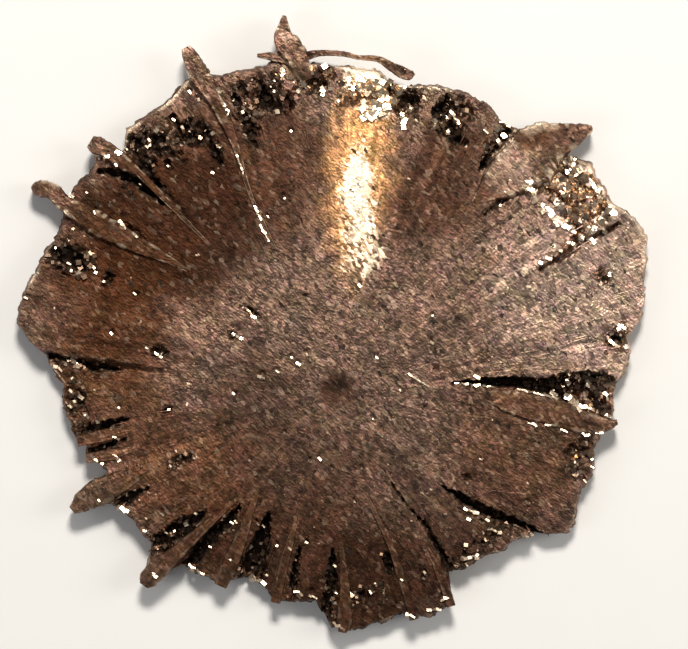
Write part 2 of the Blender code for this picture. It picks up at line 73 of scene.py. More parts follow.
# The solid's own form, which the fine surface follows
HUB_HEIGHT = 4.7 * MM
RIM_DROP = 1.5 * MM
DIMPLE_DEPTH = 0.45 * MM
DIMPLE_RADIUS = 1.3 * MM
REST_RADIUS = 21.0 * MM
RIM_LIFT = 0.8 * MM
MEAN_RADIUS = 38.0 * MM
RELIEF_GROWTH = 1.5
UNDER_FLUTING = 0.5
UNDER_TURN = 20
LEDGE_HALF_TURNS = (0.8, 3.5)  # degrees, of the tall ledges and of the low ones
TALL_LEDGE = 0.5
LEDGE_FADE = 11.0
LEDGE_RUN = 9.0 * MM
FORM_SEED = 11
RIB_COUNT = 48
RIB_HALF_WIDTH = (1.6, 4.5)
RIB_HEIGHT = (-0.2 * MM, 0.24 * MM)

# The fine surface
FACE_SINK = 0.10 * MM  # how far the skin lies under the solid's face, so that crystals end at it
TOP = CAD_BOX[1][2] - 0.02 * MM  # no crystal stands higher
CREVICE_SIDE = 0.4 * MM  # run of a crevice's side
PIT_SIDE = 0.5 * MM
FLOOR_CRYSTAL = 0.95 * MM  # width of the crystals on the floor of a hollow
FULL_SHADE_DEPTH = 1.4 * MM  # a hollow of the disc gets its full painted shade from this depth on
NICK_DEPTH = 0.4 * MM
SHORT_SHARD = 16  # pixels; a shorter shard has a nick beside it
PLANKS = ((64, 9.0, 1.0, 41), (190, 4.5, 0.55, 51), (420, 2.2, 0.32, 61))  # to a turn, length, height, seed
TEETH = ((52, 1.0, 86), (140, 0.7, 88), (330, 0.5, 81))  # to a turn, height, seed
FACE_ZONES = ((0.0, 0.2, 4), (0.2, 0.46, 2), (0.46, 1.0, 1))  # shares of the radius, and columns to a step
UNDER_ZONES = ((0.97, 0.72, 1), (0.64, 0.46, 2), (0.38, 0.08, 4))
WALL_ROWS = 10
UNDER_ROWS = 4  # to a zone
LATH_STEPS = 14  # rings between two stations
THINNEST_LATH = 0.05 * MM  # half its width
SHARD_PROUD = 0.2 * MM  # how far a shard stands out of the face, and how far it reaches below
SPLINTER_MARGIN = 0.3 * MM  # from the wall's upper and lower edges

# The rim's corners, anticlockwise: angle, distance.
RIM = np.array([
    (0, 35.7), (1.4, 35.8), (2.9, 36.8), (5.2, 37.5), (7, 37.9), (9.2, 38.1), (10.6, 37.7), (11.4, 38.9),
    (12.4, 39.7), (13.5, 40.4), (15.7, 41.1), (18.8, 41.9), (22.2, 43.1), (26, 44.4), (28.5, 44.7),
    (31.5, 43.9), (34.5, 42.9), (38, 43.2), (41.5, 43.8), (44.5, 43.0), (47, 41.0), (54.5, 41.2),
    (57, 40.8), (59.5, 40.9), (62.5, 41.7), (66, 41.9), (69.5, 41.7), (74, 40.9), (79, 40.1),
    (82.5, 41.6), (86, 41.6), (89, 41.9), (93, 42.2), (97, 43.0), (101, 43.4), (104.5, 43.0),
    (110, 43.4), (112, 44.0), (116, 44.7), (119.5, 43.7), (122, 43.4), (129, 43.4), (131.5, 41.6),
    (134, 42.2), (136, 43.4), (139, 42.7), (142.5, 43.1), (148, 42.0), (150.5, 41.5), (155, 42.1),
    (159, 42.2), (163.5, 42.6), (168, 42.4), (171, 40.4), (173.2, 38.2), (175.1, 37.7), (177.5, 36.2),
    (179, 35.5), (182.5, 35.8), (184.7, 35.2), (187.5, 34.8), (190, 34.3), (192, 33.2), (194.8, 33.8),
    (197.6, 32.2), (199.4, 31.4), (201.5, 33.6), (204.5, 34.4), (207, 32.6), (209.2, 31.9), (212, 31.4),
    (219.5, 31.2), (222.5, 33.4), (225.5, 33.8), (228.5, 30.4), (234, 29.6), (238.5, 29.4),
    (241.5, 27.6), (245, 26.8), (249.5, 27.2), (253.5, 28.3), (258, 28.0), (264, 27.4), (266.5, 29.0),
    (268.5, 30.5), (272, 31.2), (276, 31.0), (280, 30.5), (286, 29.8), (288.5, 31.0), (292, 31.6),
    (298.3, 31.2), (299.8, 29.4), (301.3, 27.4), (304.6, 28.0), (309.9, 28.4), (312.6, 28.8),
    (315.5, 29.6), (320, 30.2), (324, 31.6), (327.5, 34.6), (330.5, 35.0), (334.5, 34.2), (338, 33.9),
    (341.5, 34.7), (344, 34.4), (347, 33.8), (349, 34.2), (351.5, 34.8), (354, 35.3), (356.3, 35.8),
])

# Broad waves that run out from the centre: crests in a full turn, height at the rim, angle of a crest.
FLUTES = [(3, 0.16, 84), (5, 0.14, 14), (8, 0.18, 85), (14, 0.11, 84), (23, 0.05, 35)]

# Radial ledges: angle, where they start, and the step up on the anticlockwise side at the rim.
LEDGES = [
    (32.6, 27, -0.9), (73.0, 20, -0.3), (91.5, 16, -0.5),
    (109.5, 26, 0.45), (173.4, 20, -1.0), (300.2, 11, -0.5),
]

# Laths that stand proud of the face. Each has its thickness and its stations from root to tip:
# angle, distance, width, and lift of its back above the face.
LATHS = {
    "north_west": (2.1, [
        (113.8, 19, 0.3, -0.1), (114.2, 27, 0.5, 0.2), (113.0, 33, 0.8, 0.4), (112.6, 37, 1.5, 0.55),
        (113.0, 41.3, 2.0, 0.8), (113.7, 44.6, 2.9, 1.0), (113.9, 47.6, 2.0, 1.0), (114.0, 48.7, 1.2, 0.9),
    ]),
    "west_north_west": (1.9, [
        (131.5, 25, 0.3, -0.1), (132.0, 30, 0.6, 0.15), (132.3, 35, 0.9, 0.4), (132.6, 38.5, 1.0, 0.6),
        (133.3, 40.4, 1.9, 0.85), (133.8, 43.0, 2.1, 0.95), (134.6, 44.7, 2.3, 0.9), (134.9, 45.6, 1.6, 0.7),
    ]),
    "west_hook": (2.2, [
        (141.5, 25, 0.4, -0.1), (144.0, 32, 2.4, 0.3), (145.2, 37, 3.2, 0.55), (145.4, 40.4, 3.0, 0.65),
        (145.8, 42.6, 2.1, 0.6), (145.2, 45.2, 2.2, 0.5), (146.0, 46.8, 2.4, 0.2), (147.0, 47.5, 1.2, -0.2),
    ]),
    "dart": (2.3, [
        (54, 30, 0.8, -0.1), (52, 34.5, 5.4, 0.45), (50.4, 38.5, 7.6, 0.95), (49.8, 41.5, 6.8, 0.85),
        (48.0, 44.2, 4.0, 0.55), (46.3, 46.9, 1.5, 0.3), (46.0, 47.6, 0.6, 0.2),
    ]),
    "spire": (2.6, [
        (95.8, 40.5, 1.8, 0.2), (96.7, 42.4, 2.6, 0.8), (97.2, 44.0, 3.0, 0.9), (98.5, 45.7, 3.4, 0.9),
        (98.8, 46.7, 2.5, 0.8), (98.5, 48.0, 1.4, 0.75), (98.2, 49.2, 0.6, 0.7),
    ]),
    "spire_splinter": (1.3, [(97.5, 43.2, 1.5, 0.3), (101, 44.2, 1.2, 0.3), (103.6, 44.8, 0.5, 0.2)]),
    "rim_thread": (1.5, [
        (96.2, 43.6, 1.4, -0.1), (93.1, 43.9, 0.8, 0.0), (89.0, 43.7, 0.7, 0.1), (86.4, 43.3, 0.6, 0.3),
        (83.2, 43.3, 0.8, 0.5), (81.0, 42.7, 1.2, 0.6), (78.7, 42.1, 1.6, 0.6), (76.9, 41.9, 1.3, 0.5),
        (76.5, 41.8, 0.6, 0.5),
    ]),
    "east": (2.0, [
        (359.4, 17, 0.3, -0.1), (356.2, 22, 3.0, 0.15), (354.9, 26, 4.0, 0.25), (352.9, 31, 3.4, 0.35),
        (352.4, 34.6, 2.3, 0.35), (353.4, 36.6, 0.7, 0.3),
    ]),
    "west_low_a": (1.7, [(190.8, 26.5, 0.5, -0.1), (191.0, 30.5, 1.7, 0.3), (191.2, 34.6, 1.4, 0.2)]),
    "west_low_b": (1.6, [(196.0, 27.5, 0.6, -0.1), (196.0, 30.5, 1.6, 0.2), (195.2, 34.0, 1.3, 0.1)]),
    "south_west_tooth": (2.0, [
        (203.0, 26, 0.6, -0.1), (203.0, 30.5, 3.0, 0.3), (203.1, 33.6, 3.8, 0.4), (203.4, 35.4, 3.2, 0.35),
        (204.0, 37.0, 2.2, 0.2), (204.4, 38.0, 1.2, 0.1),
    ]),
    "south_west_finger": (2.0, [
        (227.0, 19, 0.4, -0.1), (225.8, 25, 1.3, 0.5), (225.2, 30, 2.0, 0.6), (224.8, 33.0, 2.8, 0.4),
        (225.0, 35.0, 2.5, 0.2), (225.2, 35.9, 1.3, 0.0),
    ]),
    "south_west_rib": (1.8, [
        (231.5, 16.5, 0.4, -0.1), (236.2, 22, 1.6, 0.4), (238.2, 26.5, 2.3, 0.4), (239.0, 29.8, 1.7, 0.2),
    ]),
    "south_rib_a": (1.6, [(252.2, 16.5, 0.4, -0.1), (252.6, 22, 1.2, 0.35), (253.6, 28.9, 1.3, 0.2)]),
    "south_rib_b": (1.8, [
        (271, 19.5, 0.4, -0.1), (272.0, 25, 1.3, 0.3), (271.6, 30, 2.0, 0.3), (271.0, 31.6, 1.1, 0.1),
    ]),
    "south_rib_c": (1.6, [
        (285.0, 13.5, 0.3, -0.1), (288.4, 20, 0.8, 0.3), (288.7, 25, 1.0, 0.35), (288.4, 31.5, 1.2, 0.2),
    ]),
    "south_rib_d": (1.6, [(299.5, 23.5, 0.4, -0.1), (299.0, 27.4, 1.3, 0.25), (297.6, 31.8, 1.2, 0.1)]),
}

# A lath's section, from its left wall over its back to its right one and round below: shares of its half
# width and of its thickness, and how worn each point is.
LATH_SIDE = np.array([
    -0.97, -1.0, -0.93, -0.84, -0.5, -0.17, 0.17, 0.5, 0.84, 0.93, 1.0, 0.97, 0.75, 0.25, -0.25, -0.75,
])
LATH_DOWN = np.array([0.55, 0.22, 0.07, 0, 0, -0.01, 0, 0, 0, 0.07, 0.22, 0.55, 1, 1, 1, 1])
LATH_WORN = np.array([0, 0.2, 0.7, 0.35, 0, 0, 0, 0, 0.35, 0.7, 0.2, 0, 0, 0, 0, 0])

# Crevices: depth, then stations of angle, distance and width.
CREVICES = [
    (3.0, [
        (3.5, 15.0, 0.3), (3.2, 19.5, 1.2), (2.4, 23.5, 1.5), (1.0, 27.2, 2.1), (0.8, 29.8, 4.0),
        (0.0, 32.0, 4.9), (-0.6, 34.2, 5.2),
    ]),
    (1.1, [(-0.4, 33.0, 4.6), (-1.4, 35.4, 4.6), (-1.8, 38, 4.4)]),
    (1.9, [(317.4, 18.6, 0.3), (319, 21.5, 1.2), (321.2, 25.5, 1.5), (323.2, 29, 1.1), (325, 32.2, 0.7)]),
    (1.1, [
        (298.8, 11.5, 0.15), (301.0, 18, 0.4), (303.0, 20.8, 0.7), (302.4, 23.5, 0.9), (302.2, 26.3, 1.2),
        (301.8, 29.5, 1.4),
    ]),
    (1.5, [
        (131.0, 33, 0.3), (131.2, 35.5, 0.7), (131.2, 37.5, 0.9), (130.3, 39.2, 1.8), (129.2, 40.6, 2.4),
        (129.3, 42.2, 1.2),
    ]),
    (1.4, [
        (133.2, 33, 0.3), (133.5, 35.3, 0.9), (133.8, 37.2, 1.2), (134.8, 39.6, 1.6), (136.2, 41.0, 1.2),
        (137.5, 42.0, 0.8),
    ]),
    (1.6, [(57.4, 34, 0.5), (57.2, 38, 1.5), (57.0, 42.0, 1.3)]),
    (1.1, [(50.4, 29.6, 0.3), (49.2, 32.5, 0.9), (47.8, 35.0, 0.6)]),
    (1.5, [
        (46, 37.6, 0.8), (41.5, 38.4, 1.0), (39, 38.6, 1.2), (36.6, 37.7, 1.2), (33.2, 37.5, 1.3),
        (31.2, 36.2, 1.2), (30.6, 33.4, 1.0), (31.0, 30.4, 0.5),
    ]),
    (1.2, [(31.4, 37.9, 1.0), (30.8, 40.0, 0.9), (30.6, 42.2, 0.7)]),
    (1.8, [(69.5, 40.6, 0.8), (69.8, 38.8, 2.0), (68.4, 37.2, 2.4), (65.2, 36.2, 1.6), (62.4, 36.0, 0.6)]),
    (1.4, [(174.8, 28.5, 0.3), (174.4, 30.2, 1.0), (174.6, 32, 1.5), (173.8, 34, 0.8), (173.0, 39, 0.8)]),
    (1.8, [(188.0, 27.6, 0.4), (188.6, 30.7, 1.4), (188.8, 33, 1.3), (188.4, 36.5, 1.2)]),
    (1.7, [(193.0, 28.6, 0.4), (193.6, 31, 1.1), (194.0, 32.3, 1.2), (193.6, 35.5, 1.3)]),
    (1.5, [(207.4, 28, 0.4), (207.2, 30.4, 1.5), (208.4, 34.0, 1.2)]),
    (1.9, [(222.4, 23.4, 0.5), (221.8, 26.5, 2.6), (220.6, 29.5, 2.4), (219.8, 33.0, 1.2)]),
    (1.9, [(229.5, 19.6, 0.4), (230.1, 21.9, 1.5), (228.9, 24.6, 2.0), (229.4, 27, 1.7), (230.6, 32.2, 2.2)]),
    (2.1, [(240.6, 18.4, 0.5), (243, 21.5, 2.4), (244.4, 25, 3.2), (245.4, 29.5, 3.6)]),
    (1.5, [(256.4, 21.2, 0.4), (256.8, 24.8, 1.0), (257.2, 29.5, 1.2)]),
    (1.5, [(268.2, 20.8, 0.4), (268.2, 24.5, 1.4), (267.0, 28.5, 1.5), (266.0, 31.0, 1.5)]),
]

# Pits: angle, distance, length along the radius, width across it, depth.
PITS = [
    (104, 39.2, 3.4, 2.6, 1.7), (94.0, 40.0, 2.2, 2.6, 1.6), (108.8, 34.8, 3.0, 1.4, 1.3),
    (120.8, 38.6, 3.0, 3.2, 1.8), (117.0, 36.2, 5.2, 1.3, 1.3), (126.2, 39.6, 3.0, 2.6, 1.6),
    (126.9, 36.8, 1.1, 1.0, 0.8), (109.4, 39.6, 3.0, 1.3, 1.2), (154.0, 38.8, 5.0, 3.0, 1.6),
    (154.7, 33.2, 1.1, 2.3, 0.9), (167.8, 23.8, 2.8, 1.4, 1.0), (138.0, 14.9, 2.6, 1.0, 0.9),
    (152.6, 15.5, 1.5, 1.3, 0.7), (187.0, 22.3, 1.7, 1.1, 0.9), (204.0, 22.4, 4.0, 1.2, 1.0),
    (286.4, 23.4, 2.8, 1.7, 1.2), (277.5, 27.0, 1.4, 1.7, 0.9), (326.0, 20.2, 1.1, 0.9, 0.7),
    (76.6, 38.9, 1.8, 3.8, 1.6), (84.0, 38.0, 1.5, 3.4, 1.1), (22.8, 37.5, 1.6, 2.9, 0.9),
    (10.2, 36.6, 2.6, 2.0, 1.3), (142.0, 33.6, 4.0, 0.9, 0.8), (345.2, 31.6, 2.2, 2.2, 1.1),
    (99.6, 38.0, 2.2, 1.4, 1.1), (13.5, 13.0, 1.3, 0.9, 0.5), (348.5, 11.5, 1.8, 0.8, 0.5),
]

# Spongy places, eaten into small hollows: angle, distance, length along the radius, width across it.
VUGS = [
    (123.5, 39.0, 7.5, 11.0), (106.0, 38.8, 7.5, 9.0), (41.0, 40.6, 6.0, 13.0), (77.5, 38.8, 5.6, 5.0),
    (93.5, 40.4, 4.0, 5.0), (154.0, 38.8, 6.5, 5.0), (66.5, 39.0, 5.0, 4.4), (184.0, 34.0, 3.0, 9.0),
    (1.0, 33.5, 4.5, 4.2), (10.5, 36.6, 3.0, 3.0), (345.0, 32.6, 3.0, 4.4), (222.0, 31.0, 5.0, 4.0),
    (243.5, 26.0, 5.0, 3.6), (310.0, 27.4, 2.4, 8.0),
]

# Beds of cubic crystals: angle, distance, half width along the radius and across it, how many, largest
# edge, and the share of them that have no tarnish.
CRYSTAL_BEDS = [
    (39.5, 40.0, 2.8, 5.4, 330, 1.0, 0.8), (120.8, 38.8, 1.8, 2.0, 50, 0.7, 0.12),
    (127.0, 40.4, 1.8, 2.4, 70, 0.7, 0.12), (104.5, 39.4, 2.8, 3.0, 90, 0.8, 0.12),
    (95.0, 40.4, 1.8, 2.8, 60, 0.8, 0.4), (84.0, 38.8, 1.8, 4.2, 90, 0.9, 0.4),
    (67.8, 38.2, 2.2, 2.0, 60, 0.8, 0.25), (77.0, 39.0, 2.0, 2.4, 60, 0.8, 0.25),
    (58.0, 38.0, 2.4, 1.0, 30, 0.8, 0.25), (154.0, 38.8, 2.8, 2.0, 70, 0.8, 0.12),
    (183.0, 34.2, 1.2, 4.2, 60, 0.7, 0.12), (221.5, 28.4, 3.0, 1.5, 50, 0.7, 0.05),
    (244.2, 25.2, 3.4, 1.6, 70, 0.7, 0.05), (229.6, 26.0, 4.0, 0.9, 40, 0.6, 0.05),
    (0.8, 30.6, 3.0, 1.8, 80, 0.9, 0.2), (358.8, 34.2, 1.2, 2.4, 60, 1.0, 0.2),
    (345.0, 32.8, 1.5, 2.8, 50, 0.8, 0.2), (10.2, 36.9, 1.8, 1.8, 40, 0.8, 0.12),
    (278.0, 27.0, 1.4, 2.6, 30, 0.6, 0.05), (310.0, 27.4, 1.2, 4.4, 60, 0.7, 0.05),
    (286.4, 23.4, 1.3, 0.8, 14, 0.5, 0.05), (117.0, 36.4, 2.6, 0.8, 30, 0.6, 0.12),
    (109.0, 37.0, 3.4, 1.0, 40, 0.6, 0.12), (267.6, 26.0, 3.6, 0.8, 40, 0.6, 0.05),
    (22.8, 37.5, 0.8, 1.4, 20, 0.6, 0.12), (167.8, 23.8, 1.2, 0.6, 12, 0.4, 0.12),
    (204.0, 22.4, 1.8, 0.6, 40, 0.6, 0.2), (188.5, 33.0, 2.6, 0.9, 30, 0.6, 0.12),
    (193.8, 32.4, 2.0, 0.8, 26, 0.6, 0.12), (321.0, 25.6, 4.4, 0.7, 50, 0.6, 0.05),
    (256.8, 25.6, 3.0, 0.5, 24, 0.5, 0.05), (174.4, 33.5, 3.0, 0.6, 26, 0.6, 0.12),
    (138.0, 14.9, 1.2, 0.5, 10, 0.35, 0.12), (130.6, 39.6, 2.6, 1.2, 30, 0.6, 0.12),
    (135.0, 39.6, 2.6, 1.0, 24, 0.6, 0.12),
]

CRYSTAL_CROWD = 1.5  # how many times the numbers above
LESS_SHADED_HOLLOWS = [(39, 9), (88, 9)]  # angle and half width, in degrees, of the hollows with less painted shade

# Places in the lists below are the photograph's: pixels from its left and top edges.
PHOTO_HUB = (338, 390)
PIXEL = 0.13 * MM

# Broken crystals that shine: middle, length and width in pixels, and the heading of the length in degrees.
SHARDS = [
    (531, 191, 22, 12, -55), (551, 215, 30, 10, -38), (571, 227, 14, 9, -30), (486, 131, 6, 3, -60),
    (499, 141, 6, 4, -45), (504, 135, 6, 4, -30), (593, 184, 18, 3, -55), (505, 123, 15, 2, -25),
    (453, 115, 8, 5, -55), (458, 121, 6, 4, -45), (424, 96, 13, 2, -75), (410, 87, 23, 2, 0),
    (283, 70, 12, 5, 85), (323, 91, 10, 5, 80), (349, 84, 12, 6, 80), (376, 108, 28, 18, 10),
    (403, 121, 14, 7, 85), (226, 109, 18, 3, -65), (257, 211, 25, 2, -65), (110, 144, 38, 2, -41),
    (58, 186, 23, 2, -47), (39, 194, 11, 3, -60), (122, 224, 14, 3, -48), (75, 364, 13, 4, -50),
    (57, 368, 10, 3, -30), (73, 380, 6, 3, -60), (79, 396, 9, 4, -55), (68, 405, 11, 2, -40),
    (86, 416, 9, 3, -60), (116, 438, 9, 3, -30), (158, 355, 14, 3, -35), (96, 460, 22, 3, -35),
    (117, 458, 12, 4, -55), (124, 509, 12, 5, -35), (146, 532, 9, 2, -32), (162, 514, 7, 2, -45),
    (154, 577, 6, 3, -45), (196, 570, 21, 2, -34), (257, 580, 20, 4, -32), (298, 593, 12, 2, -30),
    (312, 597, 11, 2, -15), (339, 627, 18, 3, -32), (411, 616, 9, 3, -32), (434, 610, 17, 3, 5),
    (444, 599, 9, 4, 30), (472, 557, 18, 3, 18), (471, 511, 18, 3, -20), (487, 520, 5, 3, -45),
    (609, 274, 6, 4, -50), (600, 285, 8, 3, -50), (623, 327, 8, 3, -35), (614, 344, 14, 5, -40),
    (475, 385, 44, 2, -6), (535, 393, 45, 2, -13), (554, 395, 11, 5, -40), (573, 402, 24, 9, -38),
    (585, 397, 12, 3, -80), (599, 412, 40, 3, -22), (606, 394, 5, 3, -45), (477, 377, 8, 3, -35),
    (532, 424, 11, 2, -15), (550, 425, 13, 2, 0), (565, 431, 8, 2, -25), (587, 435, 14, 2, -15),
    (602, 433, 16, 2, 0), (468, 519, 6, 3, -20), (495, 531, 17, 3, -20), (524, 536, 11, 3, -20),
    (252, 315, 22, 3, -48), (237, 336, 15, 4, -30), (262, 378, 9, 3, -30), (299, 364, 5, 3, -30),
    (418, 380, 30, 2, -32), (382, 436, 15, 2, -34), (548, 258, 8, 4, -30), (560, 250, 7, 4, -40),
    (571, 243, 7, 4, -40), (581, 236, 7, 4, -35), (541, 263, 6, 3, -10), (240, 164, 26, 2, -70),
    (265, 234, 22, 2, -62), (219, 91, 8, 3, -60), (575, 168, 12, 6, -50), (563, 186, 10, 6, -40),
    (366, 78, 20, 8, 5), (352, 88, 8, 6, -50), (388, 100, 8, 6, -60), (136, 236, 10, 2, -45),
    (591, 240, 12, 4, -32), (603, 230, 8, 5, -30),
]

# Small sparks of bare crystal, places only, in the photograph's pixels.
SPARKS = [
    (451, 91), (574, 158), (501, 206), (506, 193), (511, 181), (274, 80), (375, 90), (400, 88), (411, 108),
    (417, 121), (273, 90), (202, 87), (189, 91), (199, 100), (245, 135), (291, 131), (182, 127), (174, 120),
    (149, 140), (146, 146), (213, 173), (200, 137), (167, 165), (268, 217), (284, 198), (90, 140),
    (101, 148), (98, 157), (104, 157), (116, 165), (127, 149), (86, 192), (140, 184), (94, 212), (72, 228),
    (68, 240), (90, 253), (69, 264), (71, 271), (93, 267), (95, 272), (103, 281), (136, 295), (26, 298),
    (54, 247), (70, 391), (147, 348), (111, 333), (119, 408), (169, 410), (101, 492), (82, 508), (126, 494),
    (170, 466), (84, 414), (134, 509), (196, 514), (232, 523), (236, 522), (257, 523), (263, 526),
    (211, 548), (148, 492), (166, 533), (174, 531), (148, 579), (231, 560), (277, 546), (267, 576),
    (289, 548), (307, 543), (355, 502), (335, 566), (337, 594), (351, 594), (370, 592), (425, 573),
    (424, 579), (401, 579), (617, 388), (593, 460), (595, 468), (585, 481), (578, 465), (466, 482),
    (527, 503), (527, 510), (481, 523), (537, 538), (502, 556), (469, 568), (277, 371), (292, 358),
    (306, 354), (376, 357), (431, 342), (400, 390), (419, 401), (391, 419), (373, 419), (362, 469),
    (310, 461), (332, 469), (319, 458), (285, 434), (250, 461), (235, 395), (306, 298), (360, 286),
    (432, 315),
]
SPARK_SIZE = (4.0, 2.3)
SPARK_HEADING = -45  # the sparks' usual heading, as of the shards: from upper left to lower right
KEY_TILT = 20  # degrees from upright to a crystal plane that mirrors the key light straight up

# Tints of the face: angle, distance, length along the radius, width across it, colour, strength.
TINTS = [
    (20, 34, 26, 32, "silver_tan", 0.85), (344, 26, 24, 26, "ochre", 0.6),
    (23, 41, 9, 16, "silver_tan", 0.9), (39, 40.5, 9, 14, "silver_tan", 0.9),
    (48.3, 42.5, 11, 9, "umber", 0.55), (46.8, 44.0, 6, 5, "mauve_grey", 0.6),
    (50, 30, 12, 12, "brown", 0.35), (142, 32, 28, 44, "brown", 0.95), (106, 31, 26, 22, "brown", 0.7),
    (66, 31, 24, 14, "brown", 0.75), (178, 31, 22, 26, "ochre", 0.85), (213, 23, 22, 24, "ochre", 0.85),
    (258, 24, 24, 42, "brown", 0.75), (286, 26, 18, 32, "umber", 0.68), (232, 28, 14, 18, "umber", 0.3),
    (314, 25, 18, 26, "brown", 0.36), (165, 39, 10, 14, "mauve_grey", 0.3), (137, 31, 24, 18, "umber", 0.6),
    (268, 11, 18, 26, "brown", 0.42), (192, 11, 16, 20, "umber", 0.5), (122, 27, 20, 12, "umber", 0.65),
    (160, 31, 22, 22, "brown", 0.6), (98.3, 48.6, 4, 3, "silver_tan", 0.9),
]

# The same for the smaller ones, whose edges wander less: the dart's bright root and its dark middle, and
# the soft dark spot on the growth centre.
CLOSE_TINTS = [
    (51.8, 36.8, 8, 7, "silver_tan", 1.0), (53.0, 41.2, 4.5, 5, "umber", 0.9),
    (0, 0, 6.4, 6.4, "umber", 0.82),
]
TINT_NAMES = ["mauve_grey", "silver_tan", "brown", "ochre", "umber"]

# The painted highlight streak, in ovals: angle, distance, half length, half width, strength.
STREAK_OVALS = {
    "Share": [
        (84.9, 26.5, 6.5, 2.4, 1.0), (82.2, 22.0, 4.5, 2.5, 0.74), (79.0, 18.4, 5.0, 3.6, 0.42),
        (82.4, 37.6, 2.2, 2.6, 1.0), (85.0, 40.4, 2.4, 3.6, 0.8),
    ],
    "Halo": [(84.4, 28.5, 15.0, 5.0, 0.9)],
    "Lean": [(84.6, 26.0, 15.0, 3.9, 0.36), (79.0, 18.5, 7.0, 3.6, 0.34)],
}

# What sets the finishes apart: shares of bare metal and of rust all over, strength of the fibres' and of
# the facets' bump, facets to a metre, roughness.
FINISHES = {
    "tarnished_face": (0.0, 0.0, 0.16, 0.42, 2600.0, 0.38),
    "lath_pyrite": (0.0, 0.4, 0.12, 0.3, 2600.0, 0.38),
    "cube_pyrite": (0.10, 0.2, 0.05, 0.05, 1500.0, 0.14),
    "fibre_pyrite": (0.0, 0.0, 0.15, 0.3, 2600.0, 0.36),
    "grain_pyrite": (0.0, 0.0, 0.16, 0.42, 2600.0, 0.40),
    "shard_pyrite": (0.25, 0.0, 0.05, 0.1, 1500.0, 0.18),
}

# The lights: place, width, height, watts, colour.
LIGHTS = {
    "key": ((0.03, 0.42, 0.50), 0.16, 0.12, 4.6, (1.0, 0.95, 0.88)),
    "fill": ((-0.62, -0.25, 0.45), 0.4, 0.4, 1.15, (0.98, 0.98, 1.0)),
    "side": ((0.6, 0.1, 0.35), 0.3, 0.4, 1.6, (1.0, 0.96, 0.9)),
}
LIT_PLACE = (0, 0.008, 0)  # the lights look here
ROOM_COLOUR = (0.8, 0.82, 0.85, 1)
ROOM_STRENGTH = 0.2
FLOOR_HALF = 1.5

# The photo's frame, worked out at the height of the face
VIEW_CENTRE = (0.78 * MM, 8.5 * MM)
VIEW_WIDTH = 89.4 * MM
CAMERA_HEIGHT = 0.5
FACE_LEVEL = 4.0 * MM


# Settings that a user may change

def a_length(name, millimetres, description):
    return bpy.props.FloatProperty(
        name=name, description=description, default=millimetres * MM, min=0, unit="LENGTH", precision=5
    )


def a_count(name, default, lowest, description):
    return bpy.props.IntProperty(name=name, description=description, default=default, min=lowest)


def a_colour(name, default, description):
    return bpy.props.FloatVectorProperty(
        name=name, description=description, default=default, subtype="COLOR", size=3, min=0, max=1
    )


class SurfaceSettings(bpy.types.PropertyGroup):
    """How fine the disc's surface is and how rough it stands."""

    columns: a_count("Columns", 960, 64, "Points round the rim, a multiple of four")
    face_rows: a_count("Face Rows", 116, 16, "Rings of points from the centre to the rim")
    plank_relief: a_length("Plank Relief", 0.13, "Height of the flat-backed crystals that radiate")
    grit: a_length("Grit", 0.004, "Height of the finest roughness of the face")
    floor_relief: a_length("Floor Relief", 0.7, "Height of the crystals on the floor of a hollow")
    vug_depth: a_length("Vug Depth", 0.95, "Depth of the small hollows in the spongy places")
    rim_teeth: a_length("Rim Teeth", 0.5, "How far the rim's broadest teeth reach in and out")


class CrystalSettings(bpy.types.PropertyGroup):
    """How many small crystals lie on the face, and their sizes."""

    fibre_count: a_count("Fibres", 1300, 1, "Thin radial needles on the face")
    fibre_width: a_length("Fibre Width", 0.28, "Widest a needle gets")
    grain_count: a_count("Grains", 6000, 1, "Small flat crystals on the face")
    grain_size: a_length("Grain Size", 0.32, "Widest a grain gets")
    splinter_count: a_count("Splinters", 300, 1, "Short blades that stick out of the rim's wall")


class FinishSettings(bpy.types.PropertyGroup):
    """Colours of the tarnish, of bare pyrite and of the floor, and those that paint the shade in the
    hollows and the fringe of the highlight streak.
    """

    mauve_grey: a_colour("Mauve Grey", (0.182, 0.111, 0.085), "Thin tarnish round the centre")
    silver_tan: a_colour("Silver Tan", (0.46, 0.32, 0.26), "The cleanest broad part of the face")
    brown: a_colour("Brown", (0.062, 0.021, 0.0085), "Thick tarnish towards the rim")
    ochre: a_colour("Ochre", (0.125, 0.053, 0.027), "Rusty tarnish on the left and below")
    umber: a_colour("Umber", (0.042, 0.0165, 0.0088), "The darkest tarnish, along the lower rim")
    # The colour below paints the fringe of the painted highlight streak.
    painted_halo_amber: a_colour("Amber", (0.64, 0.33, 0.14), "Thin golden tarnish beside the bare streak")
    rust: a_colour("Rust", (0.13, 0.062, 0.034), "Warm tarnish on the laths")
    gold: a_colour("Gold", (1.0, 0.80, 0.58), "Bare pyrite with no tarnish")
    # The colour below paints shade into the hollows, darker the deeper they are.
    painted_shade_colour: a_colour("Dirt", (0.020, 0.013, 0.010), "Shale and soot left in the hollows")
    floor: a_colour("Floor", (0.78, 0.77, 0.75), "The pale surface that the sun lies on")


# Shapes in the plane, as whole arrays. Each noise and each set of facets has its own seed.

def places(angle, radius):
    """x and y of polar places."""
    turn = np.radians(angle)
    return radius * np.cos(turn), radius * np.sin(turn)


def from_photo(x, y):
    """Place in metres of a place in the photograph."""
    return (x - PHOTO_HUB[0]) * PIXEL, (PHOTO_HUB[1] - y) * PIXEL


def stacked(*parts):
    """Arrays and numbers side by side, as the last axis of one array."""
    return np.stack(np.broadcast_arrays(*parts), axis=-1)


def ease(value):
    """Rises smoothly from 0 to 1 as value does."""
    value = np.clip(value, 0.0, 1.0)
    return value * value * (3 - 2 * value)


def turn_from(line, angle):
    """Degrees from line round to angle, between -180 and 180."""
    return (angle - line + 180) % 360 - 180


